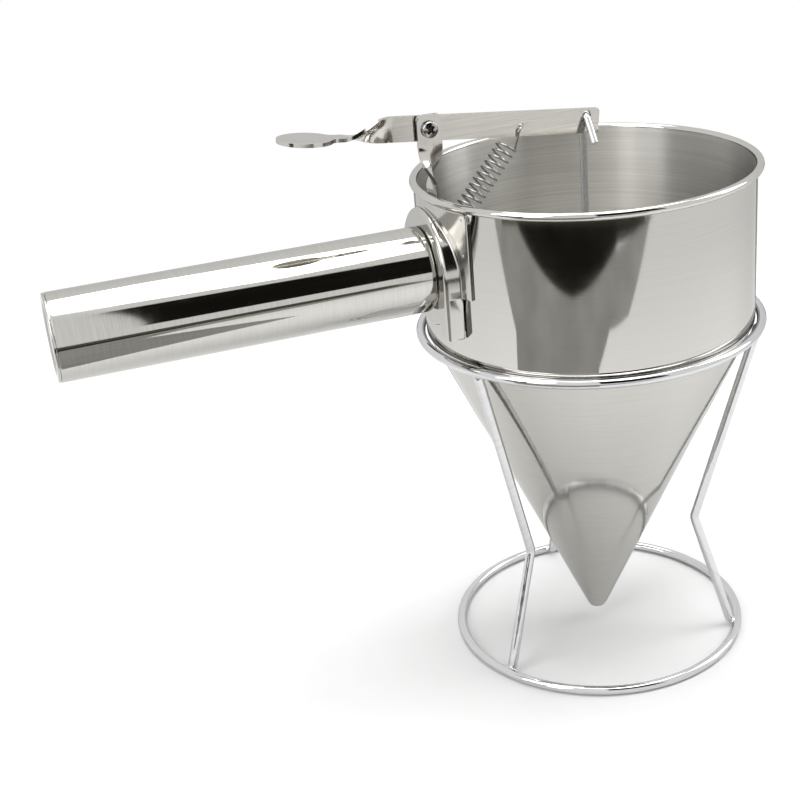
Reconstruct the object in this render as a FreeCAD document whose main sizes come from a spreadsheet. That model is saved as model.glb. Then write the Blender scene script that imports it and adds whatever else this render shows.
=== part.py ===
"""A funnel batter dispenser in its wire stand, in millimetres.

+Z is up. The origin is on the axis of the stand, on the table. The handle and the thumb lever
point towards -X.
"""
import FreeCAD, Part
import Sketcher
import math
import os

DRIVING_DIMENSIONS = {
    # Cup and its rolled rim
    "cup_radius": 69.5,
    "cup_height": 65.0,
    "sheet_wall": 0.8,
    "curl_radius": 1.65,
    "curl_sweep": 295.0,
    # Cone, from the cup down to its open tip
    "cone_height": 142.0,
    "tip_radius": 4.5,
    "tip_height": 8.0,
    # Turned outlet in the tip
    "outlet_drop": 1.5,
    "bore_radius": 2.25,
    "bore_length": 5.5,
    "seat_angle": 40.0,
    # Wire stand
    "wire_radius": 2.0,
    "ring_gap": 0.6,
    "ring_drop": 1.0,
    "base_ring_radius": 63.8,
    "weld_bite": 0.3,
    "leg_top_angle": 241.8,
    "leg_foot_angle": 155.0,
    "leg_waist_radius": 44.5,
    "leg_waist_height": 55.0,
    "leg_bend_radius": 6.0,
    "leg_azimuth": -154.0,
    # Handle
    "flange_radius": 23.5,
    "flange_thickness": 1.6,
    "neck_radius": 15.5,
    "tube_radius": 17.5,
    "tube_wall": 1.0,
    "tube_length": 148.8,
    "socket_depth": 8.0,
    "cap_lip": 1.2,
    "cap_inset": 0.1,
    "cap_depth": 3.0,
    # Bracket that the handle hooks into
    "bracket_sheet": 1.0,
    "handle_drop": 30.5,
    "flange_gap": 0.4,
    "hook_gap": 0.3,
    "pocket_gap": 0.5,
    "arm_drop": 23.5,
    "side_drop": 6.5,
    "plate_margin_top": 3.6,
    "plate_margin_side": 5.0,
    # Upright that carries the lever
    "post_width": 10.0,
    "post_thickness": 1.5,
    "post_corner": 2.0,
    "post_over_pivot": 5.8,
    "post_reach": 26.0,
    "pivot_rise": 27.0,
    "post_twist_start": 5.5,
    "post_twist_end": 0.9,
    "edge_bite": 0.02,
    # Lever screw, washers and nut
    "screw_radius": 1.5,
    "screw_head_radius": 3.3,
    "screw_head_height": 2.2,
    "screw_head_round": 1.2,
    "recess_arm": 2.0,
    "recess_slot": 0.6,
    "recess_depth": 1.2,
    "screw_end": 1.0,
    "running_gap": 0.05,
    "washer_radius": 3.4,
    "washer_thickness": 0.8,
    "nut_flats": 5.5,
    "nut_thickness": 2.4,
    # Thumb lever
    "lever_thickness": 1.5,
    "lever_width": 10.0,
    "lever_corner": 1.5,
    "lever_tilt": 6.0,
    "lever_flat_outside": 14.0,
    "lever_twist_length": 21.0,
    "lever_end": 6.0,
    "pad_reach": 49.0,
    "pad_radius": 11.0,
    "pad_neck": 8.0,
    "pad_drop": 2.5,
    # Plug rod and plug
    "rod_radius": 1.5,
    "rod_side_gap": 0.4,
    "rod_hole_clearance": 0.65,
    "rod_hole_lift": 1.9,
    "rod_tail": 10.5,
    "rod_tail_lean": 36.0,
    "plug_radius": 4.0,
    "plug_gap": 0.3,
    "plug_socket": 2.8,
    # Return spring and the eye that holds it
    "spring_radius": 4.5,
    "spring_wire_radius": 0.45,
    "spring_pitch": 2.8,
    "spring_hook_length": 9.0,
    "spring_hook_radius": 2.0,
    "spring_hole_reach": 39.4,
    "spring_hole_drop": 1.0,
    "spring_hole_clearance": 0.65,
    "eye_radius": 2.0,
    "eye_wire_radius": 0.6,
    "eye_drop": 18.5,
    "eye_bite": 0.1,
}

WORKED_OUT_PLACES = {
    # Cup, rim and cone
    "cup_bottom": "dims.tip_height + dims.cone_height",
    "cup_top": "cup_bottom + dims.cup_height",
    "cup_inner": "dims.cup_radius - dims.sheet_wall",
    "curl_centre": "cup_inner + dims.curl_radius",
    "curl_inner": "dims.curl_radius - dims.sheet_wall",
    "curl_end": "180 - dims.curl_sweep",
    "cone_slope": "(dims.cup_radius - dims.tip_radius) / dims.cone_height",
    "cone_wall": "dims.sheet_wall * sqrt(1 + cone_slope * cone_slope)",
    "tip_inner": "dims.tip_radius - cone_wall",
    # Outlet: the seat's cone is run up until it meets the inside of the funnel's cone
    "outlet_bottom": "dims.tip_height - dims.outlet_drop",
    "seat_bottom": "outlet_bottom + dims.bore_length",
    "seat_slope": "tan(dims.seat_angle)",
    "seat_run": "tip_inner + (seat_bottom - dims.tip_height) * cone_slope - dims.bore_radius",
    "seat_height": "seat_run / (seat_slope - cone_slope)",
    "seat_top": "seat_bottom + seat_height",
    "seat_top_radius": "dims.bore_radius + seat_height * seat_slope",
    # Stand
    "ring_radius": "dims.cup_radius + dims.ring_gap + dims.wire_radius",
    "ring_height": "cup_bottom - dims.ring_drop",
    "weld_distance": "2 * dims.wire_radius - dims.weld_bite",
    "leg_top_radius": "ring_radius + weld_distance * cos(dims.leg_top_angle)",
    "leg_top_height": "ring_height + weld_distance * sin(dims.leg_top_angle)",
    "leg_foot_radius": "dims.base_ring_radius + weld_distance * cos(dims.leg_foot_angle)",
    "leg_foot_height": "dims.wire_radius + weld_distance * sin(dims.leg_foot_angle)",
    # The leg's bend at its waist, from the directions of its upper and lower runs
    "upper_x": "leg_top_radius - dims.leg_waist_radius",
    "upper_z": "leg_top_height - dims.leg_waist_height",
    "upper_run": "sqrt(upper_x * upper_x + upper_z * upper_z)",
    "lower_x": "leg_foot_radius - dims.leg_waist_radius",
    "lower_z": "leg_foot_height - dims.leg_waist_height",
    "lower_run": "sqrt(lower_x * lower_x + lower_z * lower_z)",
    "waist_cosine": "(upper_x * lower_x + upper_z * lower_z) / (upper_run * lower_run)",
    "waist_angle": "acos(waist_cosine) / 1deg",
    "bend_back_off": "dims.leg_bend_radius / tan(waist_angle / 2)",
    "bend_depth": "dims.leg_bend_radius / sin(waist_angle)",
    "leg_bend_start_x": "dims.leg_waist_radius + bend_back_off * upper_x / upper_run",
    "leg_bend_start_z": "dims.leg_waist_height + bend_back_off * upper_z / upper_run",
    "leg_bend_stop_x": "dims.leg_waist_radius + bend_back_off * lower_x / lower_run",
    "leg_bend_stop_z": "dims.leg_waist_height + bend_back_off * lower_z / lower_run",
    "waist_lean_x": "upper_x / upper_run + lower_x / lower_run",
    "waist_lean_z": "upper_z / upper_run + lower_z / lower_run",
    "leg_bend_x": "dims.leg_waist_radius + bend_depth * waist_lean_x",
    "leg_bend_z": "dims.leg_waist_height + bend_depth * waist_lean_z",
    # Handle and bracket, as distances from the cup's axis
    "handle_height": "cup_top - dims.handle_drop",
    "flange_face": "dims.cup_radius + dims.flange_gap",
    "pocket_floor": "flange_face + dims.flange_thickness + dims.hook_gap",
    "pocket_front": "pocket_floor + dims.bracket_sheet",
    "neck_length": "dims.bracket_sheet + 2 * dims.hook_gap",
    "tube_start": "dims.flange_thickness + neck_length",
    "tube_end": "tube_start + dims.tube_length",
    "tube_inner": "dims.tube_radius - dims.tube_wall",
    "socket_inner": "tube_inner - dims.tube_wall",
    "pocket_inner": "dims.flange_radius + dims.pocket_gap",
    "pocket_outer": "pocket_inner + dims.bracket_sheet",
    "slot_radius": "dims.neck_radius + dims.pocket_gap",
    "plate_radius": "dims.cup_radius + dims.bracket_sheet",
    "plate_top": "handle_height + pocket_outer + dims.plate_margin_top",
    "plate_bottom": "handle_height - dims.side_drop",
    "plate_half_width": "pocket_outer + dims.plate_margin_side",
    "arm_bottom": "handle_height - dims.arm_drop",
    # Across the lever, from the rod on the axis towards the front
    "hook_radius": "dims.lever_thickness / 2 + dims.rod_side_gap + dims.rod_radius",
    "lever_front": "hook_radius + dims.lever_thickness / 2",
    "lever_back": "hook_radius - dims.lever_thickness / 2",
    "washer_front": "lever_front + dims.running_gap",
    "washer_back": "lever_back - dims.running_gap",
    "nut_face": "washer_back - dims.washer_thickness",
    "post_back": "washer_front + dims.washer_thickness",
    "post_middle": "post_back + dims.post_thickness / 2",
    "post_front": "post_back + dims.post_thickness",
    "screw_length": "post_front - nut_face + dims.nut_thickness + dims.screw_end",
    # The upright stands with its edges against the inside of the cup
    "post_chord": "sqrt(cup_inner * cup_inner - dims.post_width * dims.post_width / 4)",
    "post_radius": "post_chord - dims.post_thickness / 2 + dims.edge_bite",
    "pivot_reach": "sqrt(post_radius * post_radius - post_middle * post_middle)",
    "pivot_height": "cup_top + dims.pivot_rise",
    "post_turn": "180 - acos(post_middle / post_radius) / 1deg",
    "post_top": "pivot_height + dims.post_over_pivot",
    "post_bottom": "cup_top - dims.post_reach",
    "twist_top": "pivot_height - dims.post_twist_start",
    "twist_bottom": "cup_top + dims.curl_radius + dims.post_twist_end",
    "pivot_hole": "dims.screw_radius + dims.running_gap",
    # Lever, along its own strap from the pivot
    "rod_hole_radius": "dims.rod_radius + dims.rod_hole_clearance",
    "rod_hole_shift": "pivot_reach - dims.rod_hole_lift * sin(dims.lever_tilt)",
    "rod_hole_reach": "rod_hole_shift / cos(dims.lever_tilt)",
    "rod_hole_rise": "dims.rod_hole_lift * cos(dims.lever_tilt)",
    "rod_hole_fall": "rod_hole_reach * sin(dims.lever_tilt)",
    "rod_hole_height": "pivot_height + rod_hole_rise - rod_hole_fall",
    "lever_inner_end": "rod_hole_reach + dims.lever_end",
    "spring_hole_radius": "dims.spring_wire_radius + dims.spring_hole_clearance",
    # Valve
    "plug_run": "(dims.plug_radius + dims.plug_gap - dims.bore_radius * cos(dims.seat_angle))",
    "plug_height": "seat_bottom + plug_run / sin(dims.seat_angle)",
    "rod_foot": "plug_height + dims.plug_radius - dims.plug_socket",
    "rod_bend_height": "rod_hole_height - hook_radius",
    "rod_tail_across": "hook_radius * (1 + cos(dims.rod_tail_lean))",
    "rod_tail_height": "rod_bend_height + hook_radius * sin(dims.rod_tail_lean)",
    "rod_end_across": "rod_tail_across + dims.rod_tail * sin(dims.rod_tail_lean)",
    "rod_end_height": "rod_tail_height - dims.rod_tail * cos(dims.rod_tail_lean)",
    # Spring eye
    "eye_centre": "post_radius - dims.post_thickness / 2 - dims.eye_radius",
    "eye_distance": "eye_centre - dims.eye_wire_radius + dims.eye_bite",
    "eye_height": "cup_top - dims.eye_drop",
    "eye_reach": "eye_distance * pivot_reach / post_radius",
    "eye_side": "eye_distance * post_middle / post_radius",
}

LEG_NAMES = ["stand_leg_left", "stand_leg_right", "stand_leg_back"]
TWIST_SECTIONS = 9
NUT_SIDES = 6
QUARTER_TURN = 90.0

doc = FreeCAD.newDocument("batter_dispenser")
sub_parts = []


# Sheets

def make_sheet(name, rows):
    sheet = doc.addObject("Spreadsheet::Sheet", name)
    for number, (alias, content) in enumerate(rows, start=1):
        sheet.set(f"A{number}", alias)
        sheet.set(f"B{number}", content)
        sheet.setAlias(f"B{number}", alias)
    doc.recompute()
    return sheet


dims = make_sheet("dims", [(name, str(size)) for name, size in DRIVING_DIMENSIONS.items()])
places = make_sheet("places", [(name, "=" + rule) for name, rule in WORKED_OUT_PLACES.items()])


def value(rule):
    return float(places.evalExpression(rule))


# Sketches

def fix_coordinate(sketch, geometry, end, direction, rule):
    """Hold one point of a sketch at a rule, measured from the sketch's origin along X or Y."""
    size = value(rule)
    if size == 0:
        axis = -2 if direction == "X" else -1
        sketch.addConstraint(Sketcher.Constraint("PointOnObject", geometry, end, axis))
        return
    points = (-1, 1, geometry, end) if size > 0 else (geometry, end, -1, 1)
    constraint = Sketcher.Constraint(f"Distance{direction}", *points, abs(size))
    index = sketch.addConstraint(constraint)
    sketch.setExpression(f"Constraints[{index}]", rule if size > 0 else f"-({rule})")


def fix_point(sketch, geometry, end, x_rule, y_rule):
    fix_coordinate(sketch, geometry, end, "X", x_rule)
    fix_coordinate(sketch, geometry, end, "Y", y_rule)


def fix_radius(sketch, geometry, rule):
    index = sketch.addConstraint(Sketcher.Constraint("Radius", geometry, value(rule)))
    sketch.setExpression(f"Constraints[{index}]", rule)


def sketch_point(rules):
    return FreeCAD.Vector(value(rules[0]), value(rules[1]), 0)


def draw_run(sketch, corners, closed=True):
    """Draw lines and arcs from corner to corner.

    A corner is (x, y), or (x, y, arc) where an arc leaves it. An arc is
    (centre x, centre y, radius, turn), and its turn is +1 anticlockwise or -1 clockwise. Its ends
    are held at its corners, and its centre is held across the line between them.
    """
    count = len(corners) if closed else len(corners) - 1
    ends = []
    for number in range(count):
        corner = corners[number]
        following = corners[(number + 1) % len(corners)]
        start = sketch_point(corner)
        stop = sketch_point(following)
        if len(corner) == 2:
            geometry = sketch.addGeometry(Part.LineSegment(start, stop), False)
            ends.append((geometry, 1, 2))
            continue
        centre_x, centre_y, radius, turn = corner[2]
        centre = sketch_point((centre_x, centre_y))
        circle = Part.Circle(centre, FreeCAD.Vector(0, 0, 1), value(radius))
        first = math.atan2(start.y - centre.y, start.x - centre.x)
        last = math.atan2(stop.y - centre.y, stop.x - centre.x)
        if turn < 0:
            first, last = last, first
        if last <= first:
            last += 2 * math.pi
        geometry = sketch.addGeometry(Part.ArcOfCircle(circle, first, last), False)
        if abs(stop.x - start.x) > abs(stop.y - start.y):
            fix_coordinate(sketch, geometry, 3, "Y", centre_y)
        else:
            fix_coordinate(sketch, geometry, 3, "X", centre_x)
        ends.append((geometry, 1, 2) if turn > 0 else (geometry, 2, 1))
    for number, (geometry, start_end, _) in enumerate(ends):
        if number or closed:
            before, _, stop_end = ends[number - 1]
            sketch.addConstraint(
                Sketcher.Constraint("Coincident", before, stop_end, geometry, start_end))
        fix_point(sketch, geometry, start_end, *corners[number][:2])
    if not closed:
        geometry, _, stop_end = ends[-1]
        fix_point(sketch, geometry, stop_end, *corners[-1][:2])


def draw_circle(sketch, x_rule, y_rule, radius):
    circle = Part.Circle(sketch_point((x_rule, y_rule)), FreeCAD.Vector(0, 0, 1), value(radius))
    geometry = sketch.addGeometry(circle, False)
    fix_point(sketch, geometry, 3, x_rule, y_rule)
    fix_radius(sketch, geometry, radius)


# Bodies and features

def new_body(label):
    body = doc.addObject("PartDesign::Body", label)
    body.Label = label
    return body


def new_sketch(body, name, plane="XZ_Plane", offset=None):
    sketch = body.newObject("Sketcher::SketchObject", name)
    support = next(item for item in body.Origin.OriginFeatures if item.Role == plane)
    sketch.AttachmentSupport = (support, [""])
    sketch.MapMode = "FlatFace"
    if offset is not None:
        sketch.setExpression("AttachmentOffset.Base.z", offset)
    return sketch


def turned(body, corners, name="turned", kind="PartDesign::Revolution"):
    """Turn a half section, drawn as (radius, height), about the body's own Z axis."""
    sketch = new_sketch(body, f"{body.Label}_{name}_section")
    draw_run(sketch, corners)
    feature = body.newObject(kind, f"{body.Label}_{name}")
    feature.Profile = sketch
    feature.ReferenceAxis = (sketch, ["V_Axis"])
    feature.Angle = 360
    return feature


def pressed(body, sketch, length, name, midplane=False):
    feature = body.newObject("PartDesign::Pad", f"{body.Label}_{name}")
    feature.Profile = sketch
    feature.Midplane = midplane
    feature.setExpression("Length", length)
    return feature


def cut_through(body, sketch, name):
    """Cut a sketch's outline away, from its plane backwards through everything."""
    feature = body.newObject("PartDesign::Pocket", f"{body.Label}_{name}")
    feature.Profile = sketch
    feature.Type = "ThroughAll"
    return feature


def place(item, x="0", y="0", z="0", turn=(0, 0, 1, 0)):
    """Give a sub-part its place: three rules, and a turn as (axis x, y, z, degrees)."""
    axis = FreeCAD.Vector(*turn[:3])
    item.Placement = FreeCAD.Placement(FreeCAD.Vector(), FreeCAD.Rotation(axis, turn[3]))
    for name, rule in zip("xyz", (x, y, z)):
        item.setExpression(f"Placement.Base.{name}", rule)
    return item


def keep(item):
    """Count a finished object as a sub-part, to be checked and written."""
    sub_parts.append(item)
    return item


def swept_wire(body, corners, plane, radius):
    """Sweep a round wire along a path of lines and arcs."""
    path = new_sketch(body, f"{body.Label}_path", plane)
    draw_run(path, corners, closed=False)
    doc.recompute()
    section = body.newObject("Sketcher::SketchObject", f"{body.Label}_section")
    section.AttachmentSupport = [(path, "Edge1")]
    section.MapMode = "NormalToEdge"
    section.MapPathParameter = 0
    draw_circle(section, "0", "0", radius)
    pipe = body.newObject("PartDesign::AdditivePipe", f"{body.Label}_wire")
    pipe.Profile = section
    pipe.Spine = (path, [])
    return pipe


def round_end(body, name, x, z, radius):
    ball = body.newObject("PartDesign::AdditiveSphere", f"{body.Label}_{name}")
    ball.setExpression("Radius", radius)
    ball.setExpression("Placement.Base.x", x)
    ball.setExpression("Placement.Base.z", z)
    return ball


# Solids that no feature makes: twisted straps and the coil spring

def rectangle_wire(centre, wide, thin, width, thickness):
    half_wide = wide * (width / 2)
    half_thin = thin * (thickness / 2)
    corners = [centre + half_wide + half_thin, centre - half_wide + half_thin,
               centre - half_wide - half_thin, centre + half_wide - half_thin]
    return Part.makePolygon(corners + corners[:1])


def eased(share):
    """A share of a twist that starts and ends gently."""
    return share * share * (3 - 2 * share)


def lofted(label, wires, ruled=False):
    item = doc.addObject("Part::Feature", label)
    item.Shape = Part.makeLoft(wires, True, ruled)
    return item


def fused(label, pieces):
    item = doc.addObject("Part::MultiFuse", label)
    item.Shapes = pieces
    item.Refine = True
    return item


# Wire stand

def stand_ring(label, radius, height):
    ring = doc.addObject("Part::Torus", label)
    ring.setExpression("Radius1", radius)
    ring.setExpression("Radius2", "dims.wire_radius")
    return keep(place(ring, z=height))


def leg_corners():
    """The leg's path: down and in to its waist, round the bend, and out to the base ring."""
    bend = ("places.leg_bend_x", "places.leg_bend_z", "dims.leg_bend_radius", 1)
    return [("places.leg_top_radius", "places.leg_top_height"),
            ("places.leg_bend_start_x", "places.leg_bend_start_z", bend),
            ("places.leg_bend_stop_x", "places.leg_bend_stop_z"),
            ("places.leg_foot_radius", "places.leg_foot_height")]


def stand_leg(label, azimuth):
    leg = new_body(label)
    swept_wire(leg, leg_corners(), "XZ_Plane", "dims.wire_radius")
    round_end(leg, "top_end", "places.leg_top_radius", "places.leg_top_height",
              "dims.wire_radius")
    round_end(leg, "foot_end", "places.leg_foot_radius", "places.leg_foot_height",
              "dims.wire_radius")
    return keep(place(leg, turn=(0, 0, 1, azimuth)))


stand_ring("stand_top_ring", "places.ring_radius", "places.ring_height")
stand_ring("stand_base_ring", "dims.base_ring_radius", "dims.wire_radius")
for leg_number, leg_name in enumerate(LEG_NAMES):
    stand_leg(leg_name, dims.leg_azimuth + leg_number * 360 / len(LEG_NAMES))


# Cup, cone and outlet

def curl_point(radius):
    return (f"places.curl_centre + {radius} * cos(places.curl_end)",
            f"places.cup_top + {radius} * sin(places.curl_end)")


def cup_wall():
    cup = new_body("cup_wall")
    centre = ("places.curl_centre", "places.cup_top")
    outer_curl = (*centre, "dims.curl_radius", -1)
    inner_curl = (*centre, "places.curl_inner", 1)
    turned(cup, [
        ("places.cup_inner", "places.cup_bottom"),
        ("places.cup_inner", "places.cup_top", outer_curl),
        curl_point("dims.curl_radius"),
        (*curl_point("places.curl_inner"), inner_curl),
        ("dims.cup_radius", "places.cup_top"),
        ("dims.cup_radius", "places.cup_bottom"),
    ])
    return keep(place(cup))


def funnel_cone():
    cone = new_body("funnel_cone")
    turned(cone, [
        ("dims.tip_radius", "dims.tip_height"),
        ("dims.cup_radius", "places.cup_bottom"),
        ("dims.cup_radius - places.cone_wall", "places.cup_bottom"),
        ("places.tip_inner", "dims.tip_height"),
    ])
    return keep(place(cone))


def outlet_nozzle():
    nozzle = new_body("outlet_nozzle")
    turned(nozzle, [
        ("dims.bore_radius", "places.outlet_bottom"),
        ("places.tip_inner", "places.outlet_bottom"),
        ("places.tip_inner", "dims.tip_height"),
        ("places.seat_top_radius", "places.seat_top"),
        ("dims.bore_radius", "places.seat_bottom"),
    ])
    return keep(place(nozzle))


cup_wall()
funnel_cone()
outlet_nozzle()


# Bracket and handle. Both are drawn pointing along +X or +Z and then turned towards -X.

def arch(radius, bottom):
    """An upside-down U round the handle's axis, drawn as (across, up)."""
    crown = ("0", "places.handle_height", radius, 1)
    return [(f"-{radius}", bottom), (radius, bottom),
            (radius, "places.handle_height", crown), (f"-{radius}", "places.handle_height")]


def handle_bracket():
    bracket = new_body("handle_bracket")
    wall_plate = turned(bracket, [
        ("dims.cup_radius", "places.plate_bottom"),
        ("places.plate_radius", "places.plate_bottom"),
        ("places.plate_radius", "places.plate_top"),
        ("dims.cup_radius", "places.plate_top"),
    ], "wall_plate")
    wall_plate.Midplane = True
    wall_plate.setExpression("Angle", "2 * asin(places.plate_half_width / places.plate_radius)")

    pocket = new_sketch(bracket, "bracket_pocket_outline", "YZ_Plane", "dims.cup_radius / 2")
    draw_run(pocket, arch("places.pocket_outer", "places.arm_bottom"))
    pressed(bracket, pocket, "places.pocket_front - dims.cup_radius / 2", "pocket")

    hollow = new_sketch(bracket, "bracket_hollow_outline", "YZ_Plane", "places.pocket_floor")
    draw_run(hollow, arch("places.pocket_inner", "places.arm_bottom - dims.bracket_sheet"))
    cut_through(bracket, hollow, "hollow")

    slot = new_sketch(bracket, "bracket_slot_outline", "YZ_Plane", "places.pocket_front")
    draw_run(slot, arch("places.slot_radius", "places.arm_bottom - dims.bracket_sheet"))
    cut_through(bracket, slot, "slot")

    sides = new_sketch(bracket, "bracket_sides_outline", "YZ_Plane", "places.pocket_floor")
    draw_run(sides, [
        ("-places.plate_half_width", "places.arm_bottom - dims.bracket_sheet"),
        ("places.plate_half_width", "places.arm_bottom - dims.bracket_sheet"),
        ("places.plate_half_width", "places.plate_bottom"),
        ("-places.plate_half_width", "places.plate_bottom"),
    ])
    cut_through(bracket, sides, "sides")

    turned(bracket, [
        ("0", "places.arm_bottom - dims.bracket_sheet"),
        ("dims.cup_radius", "places.arm_bottom - dims.bracket_sheet"),
        ("dims.cup_radius", "places.plate_top + dims.bracket_sheet"),
        ("0", "places.plate_top + dims.bracket_sheet"),
    ], "cup_space", "PartDesign::Groove")
    return keep(place(bracket, turn=(0, 0, 1, 180)))


def place_on_handle_axis(item):
    return keep(place(item, x="-places.flange_face", z="places.handle_height",
                      turn=(0, 1, 0, -QUARTER_TURN)))


def handle_flange():
    flange = new_body("handle_flange")
    turned(flange, [
        ("0", "0"),
        ("dims.flange_radius", "0"),
        ("dims.flange_radius", "dims.flange_thickness"),
        ("dims.neck_radius", "dims.flange_thickness"),
        ("dims.neck_radius", "places.tube_start"),
        ("places.tube_inner", "places.tube_start"),
        ("places.tube_inner", "places.tube_start + dims.socket_depth"),
        ("dims.neck_radius - dims.tube_wall", "places.tube_start + dims.socket_depth"),
        ("dims.neck_radius - dims.tube_wall", "dims.flange_thickness"),
        ("0", "dims.flange_thickness"),
    ])
    return place_on_handle_axis(flange)


def handle_tube():
    tube = new_body("handle_tube")
    turned(tube, [
        ("places.tube_inner", "places.tube_start"),
        ("dims.tube_radius", "places.tube_start"),
        ("dims.tube_radius", "places.tube_end"),
        ("places.tube_inner", "places.tube_end"),
    ])
    return place_on_handle_axis(tube)


def handle_end_cap():
    cap = new_body("handle_end_cap")
    turned(cap, [
        ("0", "places.tube_end"),
        ("places.socket_inner", "places.tube_end"),
        ("places.socket_inner", "places.tube_end - dims.cap_depth"),
        ("places.tube_inner", "places.tube_end - dims.cap_depth"),
        ("places.tube_inner", "places.tube_end"),
        ("dims.tube_radius - dims.cap_inset", "places.tube_end"),
        ("dims.tube_radius - dims.cap_inset", "places.tube_end + dims.cap_lip"),
        ("0", "places.tube_end + dims.cap_lip"),
    ])
    return place_on_handle_axis(cap)


handle_bracket()
handle_flange()
handle_tube()
handle_end_cap()


# Upright, its screw, washers and nut, and the spring's eye

def post_head():
    head = new_body("post_head")
    sketch = new_sketch(head, "post_head_outline", "XZ_Plane", "places.post_middle")
    left = "(-places.pivot_reach - dims.post_width / 2)"
    right = "(-places.pivot_reach + dims.post_width / 2)"
    round_top = "places.post_top - dims.post_corner"
    right_arc = (f"{right} - dims.post_corner", round_top, "dims.post_corner", 1)
    left_arc = (f"{left} + dims.post_corner", round_top, "dims.post_corner", 1)
    draw_run(sketch, [
        (left, "places.twist_top"),
        (right, "places.twist_top"),
        (right, round_top, right_arc),
        (f"{right} - dims.post_corner", "places.post_top"),
        (f"{left} + dims.post_corner", "places.post_top", left_arc),
        (left, round_top),
    ])
    draw_circle(sketch, "-places.pivot_reach", "places.pivot_height", "places.pivot_hole")
    pressed(head, sketch, "dims.post_thickness", "plate", midplane=True)
    return head


def post_section(height, angle):
    centre = FreeCAD.Vector(-places.pivot_reach, -places.post_middle, height)
    turn = math.radians(angle)
    wide = FreeCAD.Vector(math.cos(turn), math.sin(turn), 0)
    thin = FreeCAD.Vector(-math.sin(turn), math.cos(turn), 0)
    return rectangle_wire(centre, wide, thin, dims.post_width, dims.post_thickness)


def lever_post():
    """A strap, twisted a quarter turn above the rim so that its foot lies along the cup."""
    twist = []
    for number in range(TWIST_SECTIONS):
        share = number / (TWIST_SECTIONS - 1)
        height = places.twist_top + share * (places.twist_bottom - places.twist_top)
        twist.append(post_section(height, eased(share) * places.post_turn))
    foot = [post_section(places.twist_bottom, places.post_turn),
            post_section(places.post_bottom, places.post_turn)]
    pieces = [post_head(), lofted("post_twist", twist), lofted("post_foot", foot, ruled=True)]
    return keep(place(fused("lever_post", pieces)))


def place_on_pivot(item, across):
    """Turn a piece's own Z axis towards +Y and put it on the lever's screw axis."""
    return keep(place(item, x="-places.pivot_reach", y=f"-({across})", z="places.pivot_height",
                      turn=(1, 0, 0, -QUARTER_TURN)))


def pivot_screw():
    screw = new_body("pivot_screw")
    round_start = "dims.screw_head_radius - dims.screw_head_round"
    round_height = "dims.screw_head_round - dims.screw_head_height"
    edge = (round_start, round_height, "dims.screw_head_round", 1)
    turned(screw, [
        ("0", "-dims.screw_head_height"),
        (round_start, "-dims.screw_head_height", edge),
        ("dims.screw_head_radius", round_height),
        ("dims.screw_head_radius", "0"),
        ("dims.screw_radius", "0"),
        ("dims.screw_radius", "places.screw_length"),
        ("0", "places.screw_length"),
    ])
    recess = new_sketch(screw, "screw_recess_outline", "XY_Plane",
                        "dims.recess_depth - dims.screw_head_height")
    arm = "dims.recess_arm"
    slot = "dims.recess_slot"
    draw_run(recess, [
        (arm, f"-{slot}"), (arm, slot), (slot, slot), (slot, arm), (f"-{slot}", arm),
        (f"-{slot}", slot), (f"-{arm}", slot), (f"-{arm}", f"-{slot}"),
        (f"-{slot}", f"-{slot}"), (f"-{slot}", f"-{arm}"), (slot, f"-{arm}"),
        (slot, f"-{slot}"),
    ])
    cut_through(screw, recess, "recess")
    return place_on_pivot(screw, "places.post_front")


def pivot_washer(label, face):
    washer = new_body(label)
    turned(washer, [
        ("places.pivot_hole", "0"),
        ("dims.washer_radius", "0"),
        ("dims.washer_radius", "dims.washer_thickness"),
        ("places.pivot_hole", "dims.washer_thickness"),
    ])
    return place_on_pivot(washer, face)


def pivot_nut():
    nut = new_body("pivot_nut")
    sketch = new_sketch(nut, "nut_outline", "XY_Plane")
    corner = f"dims.nut_flats / (2 * cos({180 / NUT_SIDES}))"
    turns = [(number + 0.5) * 360 / NUT_SIDES for number in range(NUT_SIDES)]
    draw_run(sketch, [(f"{corner} * cos({turn})", f"{corner} * sin({turn})") for turn in turns])
    draw_circle(sketch, "0", "0", "places.pivot_hole")
    pressed(nut, sketch, "dims.nut_thickness", "hexagon")
    return place_on_pivot(nut, "places.nut_face")


def spring_eye():
    eye = doc.addObject("Part::Torus", "spring_eye")
    eye.setExpression("Radius1", "dims.eye_radius")
    eye.setExpression("Radius2", "dims.eye_wire_radius")
    return keep(place(eye, x="-places.eye_reach", y="-places.eye_side", z="places.eye_height",
                      turn=(1, 0, 0, QUARTER_TURN)))


lever_post()
pivot_screw()
pivot_washer("washer_front", "places.post_back")
pivot_washer("washer_back", "places.washer_back")
pivot_nut()
spring_eye()


# Thumb lever, drawn level about its pivot and then tilted

def lever_strap():
    strap = new_body("lever_strap")
    sketch = new_sketch(strap, "lever_strap_outline")
    half = "dims.lever_width / 2"
    inner = "places.lever_inner_end"
    corner = "dims.lever_corner"
    low_arc = (f"{inner} - {corner}", f"{corner} - {half}", corner, 1)
    high_arc = (f"{inner} - {corner}", f"{half} - {corner}", corner, 1)
    draw_run(sketch, [
        ("-dims.lever_flat_outside", f"-{half}"),
        (f"{inner} - {corner}", f"-{half}", low_arc),
        (inner, f"{corner} - {half}"),
        (inner, f"{half} - {corner}", high_arc),
        (f"{inner} - {corner}", half),
        ("-dims.lever_flat_outside", half),
    ])
    draw_circle(sketch, "0", "0", "places.pivot_hole")
    draw_circle(sketch, "places.rod_hole_reach", "dims.rod_hole_lift", "places.rod_hole_radius")
    draw_circle(sketch, "dims.spring_hole_reach", "-dims.spring_hole_drop",
                "places.spring_hole_radius")
    pressed(strap, sketch, "dims.lever_thickness", "plate", midplane=True)
    return strap


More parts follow.
